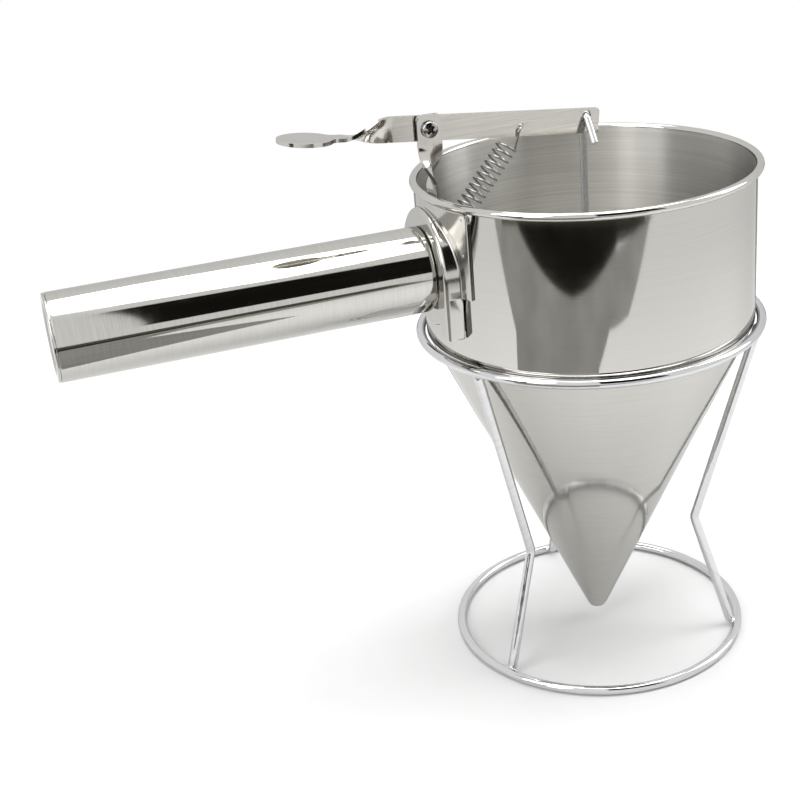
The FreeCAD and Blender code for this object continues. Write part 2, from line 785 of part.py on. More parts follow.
def lever_section(reach, share):
    """One rectangle of the twist: share 0 is upright strap, and share 1 lies flat."""
    turn = math.radians(QUARTER_TURN * share)
    centre = FreeCAD.Vector(-reach, 0, -dims.pad_drop * share)
    wide = FreeCAD.Vector(0, -math.sin(turn), math.cos(turn))
    thin = FreeCAD.Vector(0, math.cos(turn), math.sin(turn))
    width = dims.lever_width + (dims.pad_neck - dims.lever_width) * share
    return rectangle_wire(centre, wide, thin, width, dims.lever_thickness)


def thumb_lever():
    twist = []
    for number in range(TWIST_SECTIONS):
        share = number / (TWIST_SECTIONS - 1)
        reach = dims.lever_flat_outside + share * dims.lever_twist_length
        twist.append(lever_section(reach, eased(share)))
    twist_end = dims.lever_flat_outside + dims.lever_twist_length
    neck = [lever_section(twist_end, 1), lever_section(dims.pad_reach, 1)]

    pad = new_body("thumb_pad")
    sketch = new_sketch(pad, "thumb_pad_outline", "XY_Plane", "-dims.pad_drop")
    draw_circle(sketch, "-dims.pad_reach", "0", "dims.pad_radius")
    pressed(pad, sketch, "dims.lever_thickness", "plate", midplane=True)

    pieces = [lever_strap(), lofted("lever_twist", twist),
              lofted("lever_neck", neck, ruled=True), pad]
    lever = fused("thumb_lever", pieces)
    return keep(place(lever, x="-places.pivot_reach", y="-places.hook_radius",
                      z="places.pivot_height", turn=(0, 1, 0, dims.lever_tilt)))


# Rod and plug

def plug_rod():
    """A straight rod whose top hooks through the lever and leans out from it."""
    rod = new_body("plug_rod")
    bend = ("-places.hook_radius", "places.rod_bend_height", "places.hook_radius", 1)
    swept_wire(rod, [
        ("0", "places.rod_foot"),
        ("0", "places.rod_bend_height", bend),
        ("-places.rod_tail_across", "places.rod_tail_height"),
        ("-places.rod_end_across", "places.rod_end_height"),
    ], "YZ_Plane", "dims.rod_radius")
    return keep(place(rod))


def valve_plug():
    """A ball with a socket for the rod, drawn about its own centre."""
    plug = new_body("valve_plug")
    mouth = "sqrt(dims.plug_radius * dims.plug_radius - dims.rod_radius * dims.rod_radius)"
    floor = "dims.plug_radius - dims.plug_socket"
    turned(plug, [
        ("0", "-dims.plug_radius", ("0", "0", "dims.plug_radius", 1)),
        ("dims.rod_radius", mouth),
        ("dims.rod_radius", floor),
        ("0", floor),
    ])
    return keep(place(plug, z="places.plug_height"))


# Return spring, from the lever's hole to the eye

def spring_hook(tip, along, side):
    """A hook whose bow runs through a hole at its tip, and whose shank runs on along the spring."""
    bow = dims.spring_hook_radius
    centre = tip + along * bow
    near = centre - side * bow
    far = centre + side * bow
    shank_end = tip + along * dims.spring_hook_length + side * coil_radius()
    shank = Part.LineSegment(far, shank_end)
    arc = Part.Arc(near, tip, far)
    path = Part.Wire([arc.toShape()])
    section = Part.Wire([Part.Circle(near, -along, dims.spring_wire_radius).toShape()])
    bow_solid = path.makePipeShell([section], True, False)
    shank_solid = Part.makeCylinder(dims.spring_wire_radius, shank.length(), far,
                                    shank_end - far)
    joint = Part.makeSphere(dims.spring_wire_radius, far)
    return bow_solid.fuse([joint, shank_solid])


def coil_radius():
    return dims.spring_radius - dims.spring_wire_radius


def return_spring():
    tilt = math.radians(dims.lever_tilt)
    reach = dims.spring_hole_reach
    drop = dims.spring_hole_drop
    top = FreeCAD.Vector(
        -places.pivot_reach + reach * math.cos(tilt) - drop * math.sin(tilt),
        -places.hook_radius,
        places.pivot_height - reach * math.sin(tilt) - drop * math.cos(tilt))
    bottom = FreeCAD.Vector(-places.eye_reach, -places.eye_side, places.eye_height)
    along = (bottom - top).normalize()
    across = FreeCAD.Vector(0, 1, 0)
    side = (across - along * along.dot(across)).normalize()

    length = (bottom - top).Length - 2 * dims.spring_hook_length
    turns = max(round(length / dims.spring_pitch), 1)
    helix = Part.makeHelix(length / turns, length, coil_radius())
    section = Part.Wire([Part.Circle(FreeCAD.Vector(coil_radius(), 0, 0),
                                     FreeCAD.Vector(0, 1, 0),
                                     dims.spring_wire_radius).toShape()])
    coil = Part.Wire(helix.Edges).makePipeShell([section], True, True)
    start = top + along * dims.spring_hook_length
    frame = FreeCAD.Matrix()
    third = along.cross(side)
    frame.A11, frame.A21, frame.A31 = side
    frame.A12, frame.A22, frame.A32 = third
    frame.A13, frame.A23, frame.A33 = along
    frame.A14, frame.A24, frame.A34 = start
    coil.Placement = FreeCAD.Placement(frame)

    spring = doc.addObject("Part::Feature", "return_spring")
    spring.Shape = coil.fuse([spring_hook(top, along, side),
                              spring_hook(bottom, -along, side)])
    return keep(spring)


thumb_lever()
plug_rod()
valve_plug()
return_spring()


# Check everything and write each sub-part to its file

doc.recompute()
for item in doc.Objects:
    if "Invalid" in item.State or "Error" in item.State:
        raise RuntimeError(f"{item.Label} did not build: {item.State}")
os.makedirs("parts", exist_ok=True)
for item in sub_parts:
    if item.Shape.isNull() or not item.Shape.isValid():
        raise RuntimeError(f"{item.Label} has no valid shape")
    item.Shape.exportStep(os.path.join("parts", f"{item.Label}.step"))
    box = item.Shape.BoundBox
    print(f"{item.Label}: {len(item.Shape.Solids)} solid, {item.Shape.Volume:.1f} mm3, "
          f"x {box.XMin:.2f} {box.XMax:.2f}, y {box.YMin:.2f} {box.YMax:.2f}, "
          f"z {box.ZMin:.2f} {box.ZMax:.2f}")
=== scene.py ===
import math

import bmesh
import bpy
from mathutils import Matrix, Vector


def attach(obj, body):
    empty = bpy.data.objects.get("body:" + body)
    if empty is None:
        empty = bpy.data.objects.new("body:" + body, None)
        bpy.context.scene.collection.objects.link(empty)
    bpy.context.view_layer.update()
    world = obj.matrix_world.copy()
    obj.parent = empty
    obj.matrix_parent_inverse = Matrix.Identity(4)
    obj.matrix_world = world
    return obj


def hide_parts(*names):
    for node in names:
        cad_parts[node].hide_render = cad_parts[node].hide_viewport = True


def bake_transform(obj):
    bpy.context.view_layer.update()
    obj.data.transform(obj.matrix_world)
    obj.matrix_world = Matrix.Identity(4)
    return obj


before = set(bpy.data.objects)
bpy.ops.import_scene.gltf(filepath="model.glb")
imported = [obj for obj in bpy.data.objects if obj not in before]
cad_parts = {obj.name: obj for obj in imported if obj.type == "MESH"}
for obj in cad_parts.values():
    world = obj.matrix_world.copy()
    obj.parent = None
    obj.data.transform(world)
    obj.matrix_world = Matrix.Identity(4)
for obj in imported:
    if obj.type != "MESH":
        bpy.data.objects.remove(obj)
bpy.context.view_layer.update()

# Sizes below are millimetres and degrees. Meshes are scaled to metres when they are made.
MM = 0.001

# Cup, rim, cone and outlet
CUP_RADIUS = 69.5
SHEET_WALL = 0.8
CUP_BOTTOM = 150.0
CUP_TOP = 215.0
CURL_RADIUS = 1.65
CURL_SWEEP = 295.0
WALL_ROW = 20.0
SEAM_RADIUS = 2.0
TIP_RADIUS = 4.5
TIP_HEIGHT = 8.0
OUTLET_BOTTOM = 6.5
BORE_RADIUS = 2.25
SEAT_BOTTOM = 12.0
SEAT_TOP = (9.29, 20.39)

# Wire stand
WIRE_RADIUS = 2.0
TOP_RING = (72.1, 149.0)
BASE_RING = (63.8, 2.0)
LEG_TOP = (70.35, 145.74)
LEG_WAIST = (44.5, 55.0)
LEG_FOOT = (60.45, 3.56)
LEG_BEND = 6.0
LEG_AZIMUTH = -154.0
LEG_COUNT = 3
BEAD_LENGTH = 3.4
BEAD_RADIUS = 1.5

# Handle, as radii and distances from the cup's axis
HANDLE_HEIGHT = 184.5
FLANGE_FACE = 69.9
FLANGE_RADIUS = 23.5
FLANGE_BACK = 71.5
NECK_RADIUS = 15.5
TUBE_START = 73.1
TUBE_END = 221.9
TUBE_RADIUS = 17.5
TUBE_WALL = 1.0
SOCKET_DEPTH = 8.0
CAP_RADIUS = 17.4
CAP_END = 223.1
CAP_SPIGOT = 3.0
DISH_RADIUS = 12.5
DISH_EDGE = 14.5
DISH_DEPTH = 0.5
DISH_CROWN = 0.3

# Bracket that the handle hooks into
BRACKET_SHEET = 1.0
POCKET_RADIUS = 24.5
SLOT_RADIUS = 16.0
POCKET_FACE = 72.3
POCKET_BEND = 1.3
FOOT_BEND = 0.9
ARM_BOTTOM = 161.0
PLATE_BOTTOM = 178.0
PLATE_TOP = 213.1
PLATE_HALF_WIDTH = 30.0
PLATE_CORNER = 2.5
ARM_LEVELS = (ARM_BOTTOM, ARM_BOTTOM + 0.5, 166.0, 172.0, PLATE_BOTTOM - 0.01)
PLATE_LEVELS = (PLATE_BOTTOM, PLATE_BOTTOM + 0.5, 181.5)
ARCH_STEPS = 60
BRACKET_EDGE = 0.18
POCKET_POINTS = 9
SPOT_RADIUS = 0.55
SPOT_RISE = 0.16
SPOT_INSET = 2.6
SPOT_HEIGHTS = (181.5, 196.0, 210.5)

# Upright, screw, washers and nut
PIVOT_X = -67.6032
PIVOT_HEIGHT = 242.0
POST_MIDDLE = -5.0
POST_WIDTH = 10.0
POST_THICKNESS = 1.5
POST_CORNER = 2.0
POST_TOP = 247.8
POST_BOTTOM = 189.0
POST_TWIST_TOP = 236.5
POST_TWIST_BOTTOM = 217.55
POST_TURN = 94.23
PIVOT_HOLE = 1.55
SCREW_RADIUS = 1.5
SCREW_HEAD = 3.3
SCREW_HEAD_HEIGHT = 2.2
SCREW_CROWN = 8.0
SCREW_EDGE = 0.9
SCREW_FACE = -5.75
SCREW_END = 2.35
RECESS_ARM = 2.0
RECESS_SLOT = 0.6
RECESS_DEPTH = 1.2
WASHER_RADIUS = 3.4
WASHER_THICKNESS = 0.8
NUT_FLATS = 5.5
NUT_THICKNESS = 2.4
NUT_FACE = -1.05
NUT_LEVELS = (0.0, 0.12, 0.3, 0.5)
NUT_CHAMFER = 1.8
NUT_STEPS = 96
FRONT_WASHER_FACE = -4.25
BACK_WASHER_FACE = -1.85

# Thumb lever, along its own strap from the screw
LEVER_MIDDLE = -2.65
LEVER_TILT = 6.0
LEVER_WIDTH = 10.0
LEVER_THICKNESS = 1.5
LEVER_CORNER = 1.5
LEVER_INNER_END = 73.7
ROD_HOLE = (67.7758, 1.9, 2.15)
SPRING_HOLE = (39.4, -1.0, 1.1)
LEVER_TWIST_START = -14.0
LEVER_TWIST_END = -35.0
LEVER_DROP = 2.5
PAD_REACH = -49.0
PAD_RADIUS = 11.0
PAD_NECK = 8.0
PAD_FILLET = 3.0

# Plug rod and plug
ROD_RADIUS = 1.5
ROD_FOOT = 17.2
ROD_MIDDLE = 120.0
ROD_BEND_HEIGHT = 234.155
ROD_BEND = 2.65
ROD_TAIL = 10.5
ROD_TAIL_LEAN = 36.0
PLUG_RADIUS = 4.0
PLUG_HEIGHT = 16.0

# Return spring and its eye
SPRING_TOP = Vector((-28.524, -2.65, 236.887))
SPRING_EYE = Vector((-64.362, -4.760, 196.5))
SPRING_COIL = 4.05
SPRING_WIRE = 0.45
SPRING_PITCH = 2.8
SPRING_HOOK = 9.0
SPRING_END_TURN = 0.25
SPRING_BOW = 2.0
TURN_STEPS = 24
EYE_RADIUS = 2.0
EYE_WIRE = 0.6
EYE_BEAD = (1.0, 1.7, 0.8)

# Faces of a strap that meet at more than this many degrees keep a crisp edge
PLATE_SHARP = 50.0
# A strap's cuts along its twist, and across it from one edge to the other
TWIST_CUTS = 28
STRAP_CUTS = 10
STRAP_CUT_REACH = 4.0
LEVER_EDGE = 0.4


# Nodes

def put(tree, kind, inputs=(), **settings):
    """Add a node. An input is given a plain value, or the output that feeds it."""
    node = tree.nodes.new(kind)
    for name, setting in settings.items():
        setattr(node, name, setting)
    for socket, content in dict(inputs).items():
        if isinstance(content, bpy.types.NodeSocket):
            tree.links.new(content, node.inputs[socket])
        else:
            node.inputs[socket].default_value = content
    return node


def math_node(tree, operation, first, second=0.0):
    return put(tree, "ShaderNodeMath", {0: first, 1: second}, operation=operation).outputs[0]


def vector_math(tree, operation, first, second=(0, 0, 0), output=0):
    return put(tree, "ShaderNodeVectorMath", {0: first, 1: second},
               operation=operation).outputs[output]


def new_group(name, kind, inputs, outputs):
    """A node group with named sockets. Returns the group, its input node and its output node.

    An input is given its default value, or the word for its type where it has none.
    """
    group = bpy.data.node_groups.new(name, kind)
    words = {float: "Float", int: "Int", tuple: "Vector"}
    for label, content in inputs.items():
        word = words.get(type(content), content)
        socket = group.interface.new_socket(label, in_out="INPUT",
                                            socket_type=f"NodeSocket{word}")
        if word != content:
            socket.default_value = content
    for label, word in outputs.items():
        group.interface.new_socket(label, in_out="OUTPUT", socket_type=f"NodeSocket{word}")
    return group, group.nodes.new("NodeGroupInput").outputs, group.nodes.new("NodeGroupOutput")


def clad(tree, geometry, material):
    """Turn instances into a plain mesh and give it its material."""
    plain = put(tree, "GeometryNodeRealizeInstances", {"Geometry": geometry})
    return put(tree, "GeometryNodeSetMaterial", {
        "Geometry": plain.outputs[0], "Material": material}).outputs[0]


def send(tree, source, result, socket):
    """Give an output of a group what it puts out."""
    tree.links.new(source, result.inputs[socket])


def surface(tree, shader, kind="ShaderNodeOutputMaterial"):
    """Send a shader to the output of a material or a world."""
    put(tree, kind, {"Surface": shader.outputs[0]})


def seen_directly(tree):
    """1 for the camera's own rays, and for those that mirrors and glass send on."""
    rays = put(tree, "ShaderNodeLightPath").outputs
    seen = math_node(tree, "MAXIMUM", rays["Is Camera Ray"], rays["Is Glossy Ray"])
    return math_node(tree, "MAXIMUM", seen, rays["Is Transmission Ray"])


# Geometry Nodes trees

def round_wire_tree():
    """A round wire along a path of straight runs, with each corner bent to a radius."""
    tree, given, result = new_group("round_wire", "GeometryNodeTree", {
        "Path": "Geometry", "Bend Radius": 0.006, "Wire Radius": 0.002, "Sides": 24,
        "Metal": "Material"}, {"Wire": "Geometry"})
    path = put(tree, "GeometryNodeMeshToCurve", {"Mesh": given["Path"]})
    bent = put(tree, "GeometryNodeFilletCurve", {
        "Curve": path.outputs[0], "Count": 14, "Radius": given["Bend Radius"],
        "Limit Radius": True}, mode="POLY")
    section = put(tree, "GeometryNodeCurvePrimitiveCircle", {
        "Resolution": given["Sides"], "Radius": given["Wire Radius"]})
    wire = put(tree, "GeometryNodeCurveToMesh", {
        "Curve": bent.outputs[0], "Profile Curve": section.outputs[0], "Fill Caps": True})
    send(tree, clad(tree, wire.outputs[0], given["Metal"]), result, "Wire")
    return tree


def turned_tree():
    """An outline (x is the radius, z is the height) spun round the Z axis.

    Faces that look towards the axis, below the lining's height, get the lining's metal.
    """
    tree, given, result = new_group("turned_part", "GeometryNodeTree", {
        "Outline": "Geometry", "Closed": 1, "Segments": 128, "Lining Height": -1.0,
        "Metal": "Material", "Lining": "Material"}, {"Part": "Geometry"})
    size = put(tree, "GeometryNodeAttributeDomainSize", {"Geometry": given["Outline"]})
    count = size.outputs["Point Count"]
    rows = math_node(tree, "ADD", count, given["Closed"])
    columns = math_node(tree, "ADD", given["Segments"], 1)
    grid = put(tree, "GeometryNodeMeshGrid", {"Vertices X": columns, "Vertices Y": rows})
    index = put(tree, "GeometryNodeInputIndex").outputs[0]
    column = math_node(tree, "FLOOR", math_node(tree, "DIVIDE", index, rows))
    row = math_node(tree, "SUBTRACT", index, math_node(tree, "MULTIPLY", column, rows))
    outline_index = math_node(tree, "MODULO", row, count)
    place = put(tree, "GeometryNodeInputPosition").outputs[0]
    sample = put(tree, "GeometryNodeSampleIndex", {
        "Geometry": given["Outline"], "Value": place, "Index": outline_index},
        data_type="FLOAT_VECTOR")
    corner = put(tree, "ShaderNodeSeparateXYZ", {0: sample.outputs[0]})
    share = math_node(tree, "DIVIDE", column, given["Segments"])
    angle = math_node(tree, "MULTIPLY", share, math.tau)
    spot = put(tree, "ShaderNodeCombineXYZ", {
        0: math_node(tree, "MULTIPLY", corner.outputs[0], math_node(tree, "COSINE", angle)),
        1: math_node(tree, "MULTIPLY", corner.outputs[0], math_node(tree, "SINE", angle)),
        2: corner.outputs[2]})
    shaped = put(tree, "GeometryNodeSetPosition", {
        "Geometry": grid.outputs["Mesh"], "Position": spot.outputs[0]})
    merged = put(tree, "GeometryNodeMergeByDistance", {
        "Geometry": shaped.outputs[0], "Distance": 1e-6})
    metal = clad(tree, merged.outputs[0], given["Metal"])
    outwards = vector_math(tree, "MULTIPLY", place, (1, 1, 0))
    normal = put(tree, "GeometryNodeInputNormal").outputs[0]
    facing = vector_math(tree, "DOT_PRODUCT", outwards, normal, "Value")
    inward = math_node(tree, "LESS_THAN", facing, 0.0)
    height = put(tree, "ShaderNodeSeparateXYZ", {0: place}).outputs[2]
    low = math_node(tree, "LESS_THAN", height, given["Lining Height"])
    lining = put(tree, "GeometryNodeSetMaterial", {
        "Geometry": metal, "Selection": math_node(tree, "MULTIPLY", inward, low),
        "Material": given["Lining"]})
    send(tree, lining.outputs[0], result, "Part")
    return tree


def ring_of_copies_tree():
    """A mesh repeated at equal turns round the Z axis."""
    tree, given, result = new_group("ring_of_copies", "GeometryNodeTree", {
        "Piece": "Geometry", "Count": 3, "First Angle": 0.0, "Metal": "Material"},
        {"Copies": "Geometry"})
    points = put(tree, "GeometryNodePoints", {"Count": given["Count"]})
    index = put(tree, "GeometryNodeInputIndex").outputs[0]
    step = math_node(tree, "DIVIDE", math.tau, given["Count"])
    angle = math_node(tree, "ADD", given["First Angle"], math_node(tree, "MULTIPLY", index, step))
    euler = put(tree, "ShaderNodeCombineXYZ", {2: angle}).outputs[0]
    turn = put(tree, "FunctionNodeEulerToRotation", {0: euler}).outputs[0]
    copies = put(tree, "GeometryNodeInstanceOnPoints", {
        "Points": points.outputs[0], "Instance": given["Piece"], "Rotation": turn})
    send(tree, clad(tree, copies.outputs[0], given["Metal"]), result, "Copies")
    return tree


def scattered_tree():
    """A small piece at each point of a mesh, stood along that point's normal."""
    tree, given, result = new_group("piece_at_each_point", "GeometryNodeTree", {
        "Points": "Geometry", "Piece": "Object", "Metal": "Material"}, {"Pieces": "Geometry"})
    piece = put(tree, "GeometryNodeObjectInfo", {"Object": given["Piece"]})
    direction = put(tree, "GeometryNodeInputNamedAttribute", {"Name": "stand_along"},
                    data_type="FLOAT_VECTOR")
    aligned = put(tree, "FunctionNodeAlignRotationToVector", {"Vector": direction.outputs[0]},
                  axis="Z")
    copies = put(tree, "GeometryNodeInstanceOnPoints", {
        "Points": given["Points"], "Instance": piece.outputs["Geometry"],
        "Rotation": aligned.outputs[0]})
    send(tree, clad(tree, copies.outputs[0], given["Metal"]), result, "Pieces")
    return tree


# Meshes

def new_mesh(name, points, edges=(), faces=()):
    mesh = bpy.data.meshes.new(name)
    mesh.from_pydata([Vector(point) * MM for point in points], list(edges), list(faces))
    return mesh


def new_object(name, mesh):
    item = bpy.data.objects.new(name, mesh)
    bpy.context.scene.collection.objects.link(item)
    return item


def from_points(name, points, edges=(), faces=(), metal=None):
    """An object made straight from its points, with its metal if it has one yet."""
    mesh = new_mesh(name, points, edges, faces)
    if metal:
        mesh.materials.append(metal)
    return new_object(name, mesh)


def plain_mesh(item):
    """Apply an object's modifiers and take them off."""
    depsgraph = bpy.context.evaluated_depsgraph_get()
    mesh = bpy.data.meshes.new_from_object(item.evaluated_get(depsgraph))
    item.modifiers.clear()
    item.data = mesh
    return item


def grown(item, tree, inputs):
    """Run a Geometry Nodes tree on an object and keep the result as its mesh."""
    modifier = item.modifiers.new(tree.name, "NODES")
    modifier.node_group = tree
    for socket in tree.interface.items_tree:
        if socket.in_out == "INPUT" and socket.name in inputs:
            modifier[socket.identifier] = inputs[socket.name]
    return plain_mesh(item)


def shaded(item, angle=32.0):
    item.data.shade_smooth()
    item.data.set_sharp_from_angle(angle=math.radians(angle))
    return item


def chain(count, closed):
    edges = [(number, number + 1) for number in range(count - 1)]
    return edges + [(count - 1, 0)] if closed else edges


def arc(centre, radius, first, last, steps):
    """Points along an arc, between two angles in degrees."""
    points = []
    for number in range(steps + 1):
        angle = math.radians(first + (last - first) * number / steps)
        points.append((centre[0] + radius * math.cos(angle), centre[1] + radius * math.sin(angle)))
    return points


def softened(corners, steps=5, support=0.35):
    """Round the corners of an outline. A corner is (x, z, radius).

    Each round is given one point more on either side, so that its shading stays in the round.
    """
    points = []
    for number, (x, z, radius) in enumerate(corners):
        here = Vector((x, z))
        if radius == 0:
            points.append((x, z))
            continue
        before = Vector(corners[number - 1][:2]) - here
        after = Vector(corners[(number + 1) % len(corners)][:2]) - here
        half = before.angle(after) / 2
        reach = radius / math.tan(half)
        middle = here + (before.normalized() + after.normalized()).normalized() * (
            radius / math.sin(half))
        start = here + before.normalized() * reach - middle
        sweep = start.angle_signed(here + after.normalized() * reach - middle)
        first = math.atan2(start.y, start.x)
        if before.length > 2 * (reach + support):
            points.append(tuple(here + before.normalized() * (reach + support)))
        for step in range(steps + 1):
            angle = first - sweep * step / steps
            points.append((middle.x + radius * math.cos(angle),
                           middle.y + radius * math.sin(angle)))
        if after.length > 2 * (reach + support):
            points.append(tuple(here + after.normalized() * (reach + support)))
    return points


def area_of(points):
    return sum(a[0] * b[1] - b[0] * a[1] for a, b in zip(points, points[1:] + points[:1])) / 2


def turned(name, outline, metal, segments=128, closed=True, lining=None, lining_height=-1.0):
    """A piece turned round the Z axis from an outline of (radius, height)."""
    outline = outline if area_of(outline) > 0 else outline[::-1]
    item = from_points(name, [(radius, 0, height) for radius, height in outline],
                       chain(len(outline), closed))
    return shaded(grown(item, TURNED, {
        "Closed": int(closed), "Segments": segments, "Metal": metal,
        "Lining": lining or metal, "Lining Height": lining_height * MM}))


def wire(name, path, radius, metal, bend=0.0, closed=False, sides=24):
    """A round wire along a path of points."""
    item = from_points(name, path, chain(len(path), closed))
    return shaded(grown(item, ROUND_WIRE, {
        "Bend Radius": bend * MM, "Wire Radius": radius * MM, "Sides": sides, "Metal": metal}), 50)


def moved(item, matrix):
    item.data.transform(matrix)
    return item


def finished(item, body, slot, *nodes):
    """Give a piece its body and hide the CAD nodes that it stands for. The slot is not used."""
    if nodes:
        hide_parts(*nodes)
    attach(item, body)
    return item


# Effects that several metals share

def stretched_noise(group, spot, result):
    """Fine noise over stretched places, as a height and as a tone from 0 to 1."""
    fine = put(group, "ShaderNodeTexNoise", {
        "Vector": spot, "Scale": 1.0, "Detail": 3.0, "Roughness": 0.7})
    send(group, fine.outputs[0], result, "Height")
    tone = put(group, "ShaderNodeMapRange", {0: fine.outputs[0], 1: 0.3, 2: 0.7})
    send(group, tone.outputs[0], result, "Tone")


def turned_grain_group():
    """Fine rings round the Z axis of the given vector, as a lathe or a buffing wheel leaves."""
    group, given, result = new_group("turned_grain", "ShaderNodeTree", {
        "Vector": "Vector", "Lines": 2500.0, "Arcs": 1.5}, {"Tone": "Float", "Height": "Float"})
    flat = vector_math(group, "MULTIPLY", given["Vector"], (1, 1, 0))
    radius = vector_math(group, "LENGTH", flat, output="Value")
    around = vector_math(group, "NORMALIZE", flat)
    part = put(group, "ShaderNodeSeparateXYZ", {0: around})
    height = put(group, "ShaderNodeSeparateXYZ", {0: given["Vector"]}).outputs[2]
    across = math_node(group, "ADD", height, radius)
    spot = put(group, "ShaderNodeCombineXYZ", {
        0: math_node(group, "MULTIPLY", part.outputs[0], given["Arcs"]),
        1: math_node(group, "MULTIPLY", part.outputs[1], given["Arcs"]),
        2: math_node(group, "MULTIPLY", across, given["Lines"])}).outputs[0]
    stretched_noise(group, spot, result)
    return group


def drawn_grain_group():
    """Fine straight lines along X of the given vector, as rolled or belt-ground strip has."""
    group, given, result = new_group("drawn_grain", "ShaderNodeTree", {
        "Vector": "Vector", "Stretch": (40.0, 2500.0, 2500.0)},
        {"Tone": "Float", "Height": "Float"})
    spot = vector_math(group, "MULTIPLY", given["Vector"], given["Stretch"])
    stretched_noise(group, spot, result)
    return group


def handling_group():
    """Soft smudges, short hairline scratches, and the slow waves of polished sheet."""
    group, given, result = new_group("handling_marks", "ShaderNodeTree", {
        "Vector": "Vector", "Smudge Scale": 28.0, "Scratch Scale": 90.0, "Wave Scale": 22.0},
        {"Smudges": "Float", "Scratches": "Float", "Waves": "Float"})
    soft = put(group, "ShaderNodeTexNoise", {
        "Vector": given["Vector"], "Scale": given["Smudge Scale"], "Detail": 4.0,
        "Roughness": 0.6, "Distortion": 0.4})
    smudges = put(group, "ShaderNodeMapRange", {0: soft.outputs[0], 1: 0.42, 2: 0.7})
    send(group, smudges.outputs[0], result, "Smudges")
    skew = put(group, "ShaderNodeMapping", {
        "Vector": given["Vector"], "Rotation": (0.5, 0.9, 0.3), "Scale": (1.0, 14.0, 14.0)})
    hairs = put(group, "ShaderNodeTexNoise", {
        "Vector": skew.outputs[0], "Scale": given["Scratch Scale"], "Detail": 2.0})
    scratches = put(group, "ShaderNodeMapRange", {0: hairs.outputs[0], 1: 0.66, 2: 0.74})
    send(group, scratches.outputs[0], result, "Scratches")
    slow = put(group, "ShaderNodeTexNoise", {
        "Vector": given["Vector"], "Scale": given["Wave Scale"], "Detail": 1.0})
    send(group, slow.outputs[0], result, "Waves")
    return group


# Metals

def new_material(name):
    material = bpy.data.materials.new(name)
    material.use_nodes = True
    material.node_tree.nodes.clear()
    return material, material.node_tree


def placed_group(tree, group, vector, inputs):
    """Place a shared effect in a material, with that material's own values."""
    node = put(tree, "ShaderNodeGroup", node_tree=group)
    tree.links.new(vector, node.inputs["Vector"])
    for socket, content in dict(inputs).items():
        node.inputs[socket].default_value = content
    return node


def metal_finish(name, colours, roughness, grain="turned", turn=(0, 0, 0), shift=(0, 0, 0),
                 grain_inputs=(), grain_depth=0.02, wave_depth=0.0, marks=(),
                 aniso=0.0, aniso_turn=0.0, tangent=None, edge_tint=0.72):
    """One bare metal: a colour and a roughness that vary with grain, smudges and scratches.

    colours and roughness are pairs, the second where grain and marks are strongest.
    Depths are in millimetres of bump.
    """
    material, tree = new_material(name)
    place = put(tree, "ShaderNodeTexCoord").outputs["Object"]
    axis = put(tree, "ShaderNodeMapping", {
        "Vector": place, "Location": Vector(shift) * MM, "Rotation": turn}).outputs[0]
    lines = placed_group(tree, GRAINS[grain], axis, grain_inputs)
    wear = placed_group(tree, HANDLING, place, marks)
    colour = put(tree, "ShaderNodeMix", {
        0: lines.outputs["Tone"], 6: (*colours[0], 1), 7: (*colours[1], 1)},
        data_type="RGBA")
    worn = math_node(tree, "MAXIMUM", wear.outputs["Smudges"], wear.outputs["Scratches"])
    dulled = math_node(tree, "ADD", math_node(tree, "MULTIPLY", lines.outputs["Tone"], 0.35),
                       math_node(tree, "MULTIPLY", worn, 0.65))
    gloss = put(tree, "ShaderNodeMapRange", {0: dulled, 3: roughness[0], 4: roughness[1]})
    bump = put(tree, "ShaderNodeBump", {
        "Height": lines.outputs["Height"], "Strength": 1.0, "Distance": grain_depth * MM})
    waves = put(tree, "ShaderNodeBump", {
        "Height": wear.outputs["Waves"], "Strength": 1.0, "Distance": wave_depth * MM,
        "Normal": bump.outputs[0]})
    shader = put(tree, "ShaderNodeBsdfPrincipled", {
        "Base Color": colour.outputs[2], "Metallic": 1.0, "Roughness": gloss.outputs[0],
        "Specular Tint": (edge_tint, edge_tint, edge_tint, 1),
        "Normal": waves.outputs[0], "Anisotropic": aniso, "Anisotropic Rotation": aniso_turn})
    if tangent:
        around = put(tree, "ShaderNodeTangent", direction_type="RADIAL", axis=tangent)
        tree.links.new(around.outputs[0], shader.inputs["Tangent"])
    surface(tree, shader)
    return material


QUARTER = math.radians(90)
STEEL_COLOUR = (0.56, 0.55, 0.52)
DULL_STEEL = (0.50, 0.49, 0.46)


def mirror_steel():
    return metal_finish("mirror_steel", (STEEL_COLOUR, (0.54, 0.53, 0.50)), (0.035, 0.08),
                        grain_inputs={"Lines": 1800.0}, grain_depth=0.0003, wave_depth=0.10,
                        marks={"Wave Scale": 14.0})


def cone_steel():
    return metal_finish("cone_steel", (STEEL_COLOUR, DULL_STEEL), (0.06, 0.14),
                        grain_inputs={"Lines": 2200.0}, grain_depth=0.0015, wave_depth=0.14,
                        marks={"Wave Scale": 18.0, "Smudge Scale": 40.0})


def lining_steel():
    return metal_finish("lining_steel", ((0.70, 0.69, 0.66), (0.55, 0.54, 0.51)), (0.32, 0.44),
                        grain_inputs={"Lines": 1500.0, "Arcs": 0.7}, grain_depth=0.012,
                        marks={"Smudge Scale": 9.0, "Scratch Scale": 45.0},
                        aniso=0.95, aniso_turn=0.25, tangent="Z")


def handle_steel():
    return metal_finish("handle_steel", (STEEL_COLOUR, DULL_STEEL), (0.04, 0.12),
                        turn=(0, QUARTER, 0), shift=(-HANDLE_HEIGHT, 0, 0),
                        grain_inputs={"Lines": 1800.0}, grain_depth=0.001, wave_depth=0.06)


def strap_steel():
    return metal_finish("strap_steel", ((0.60, 0.58, 0.54), (0.52, 0.50, 0.46)), (0.09, 0.20),
                        grain="drawn", grain_depth=0.004, wave_depth=0.05)


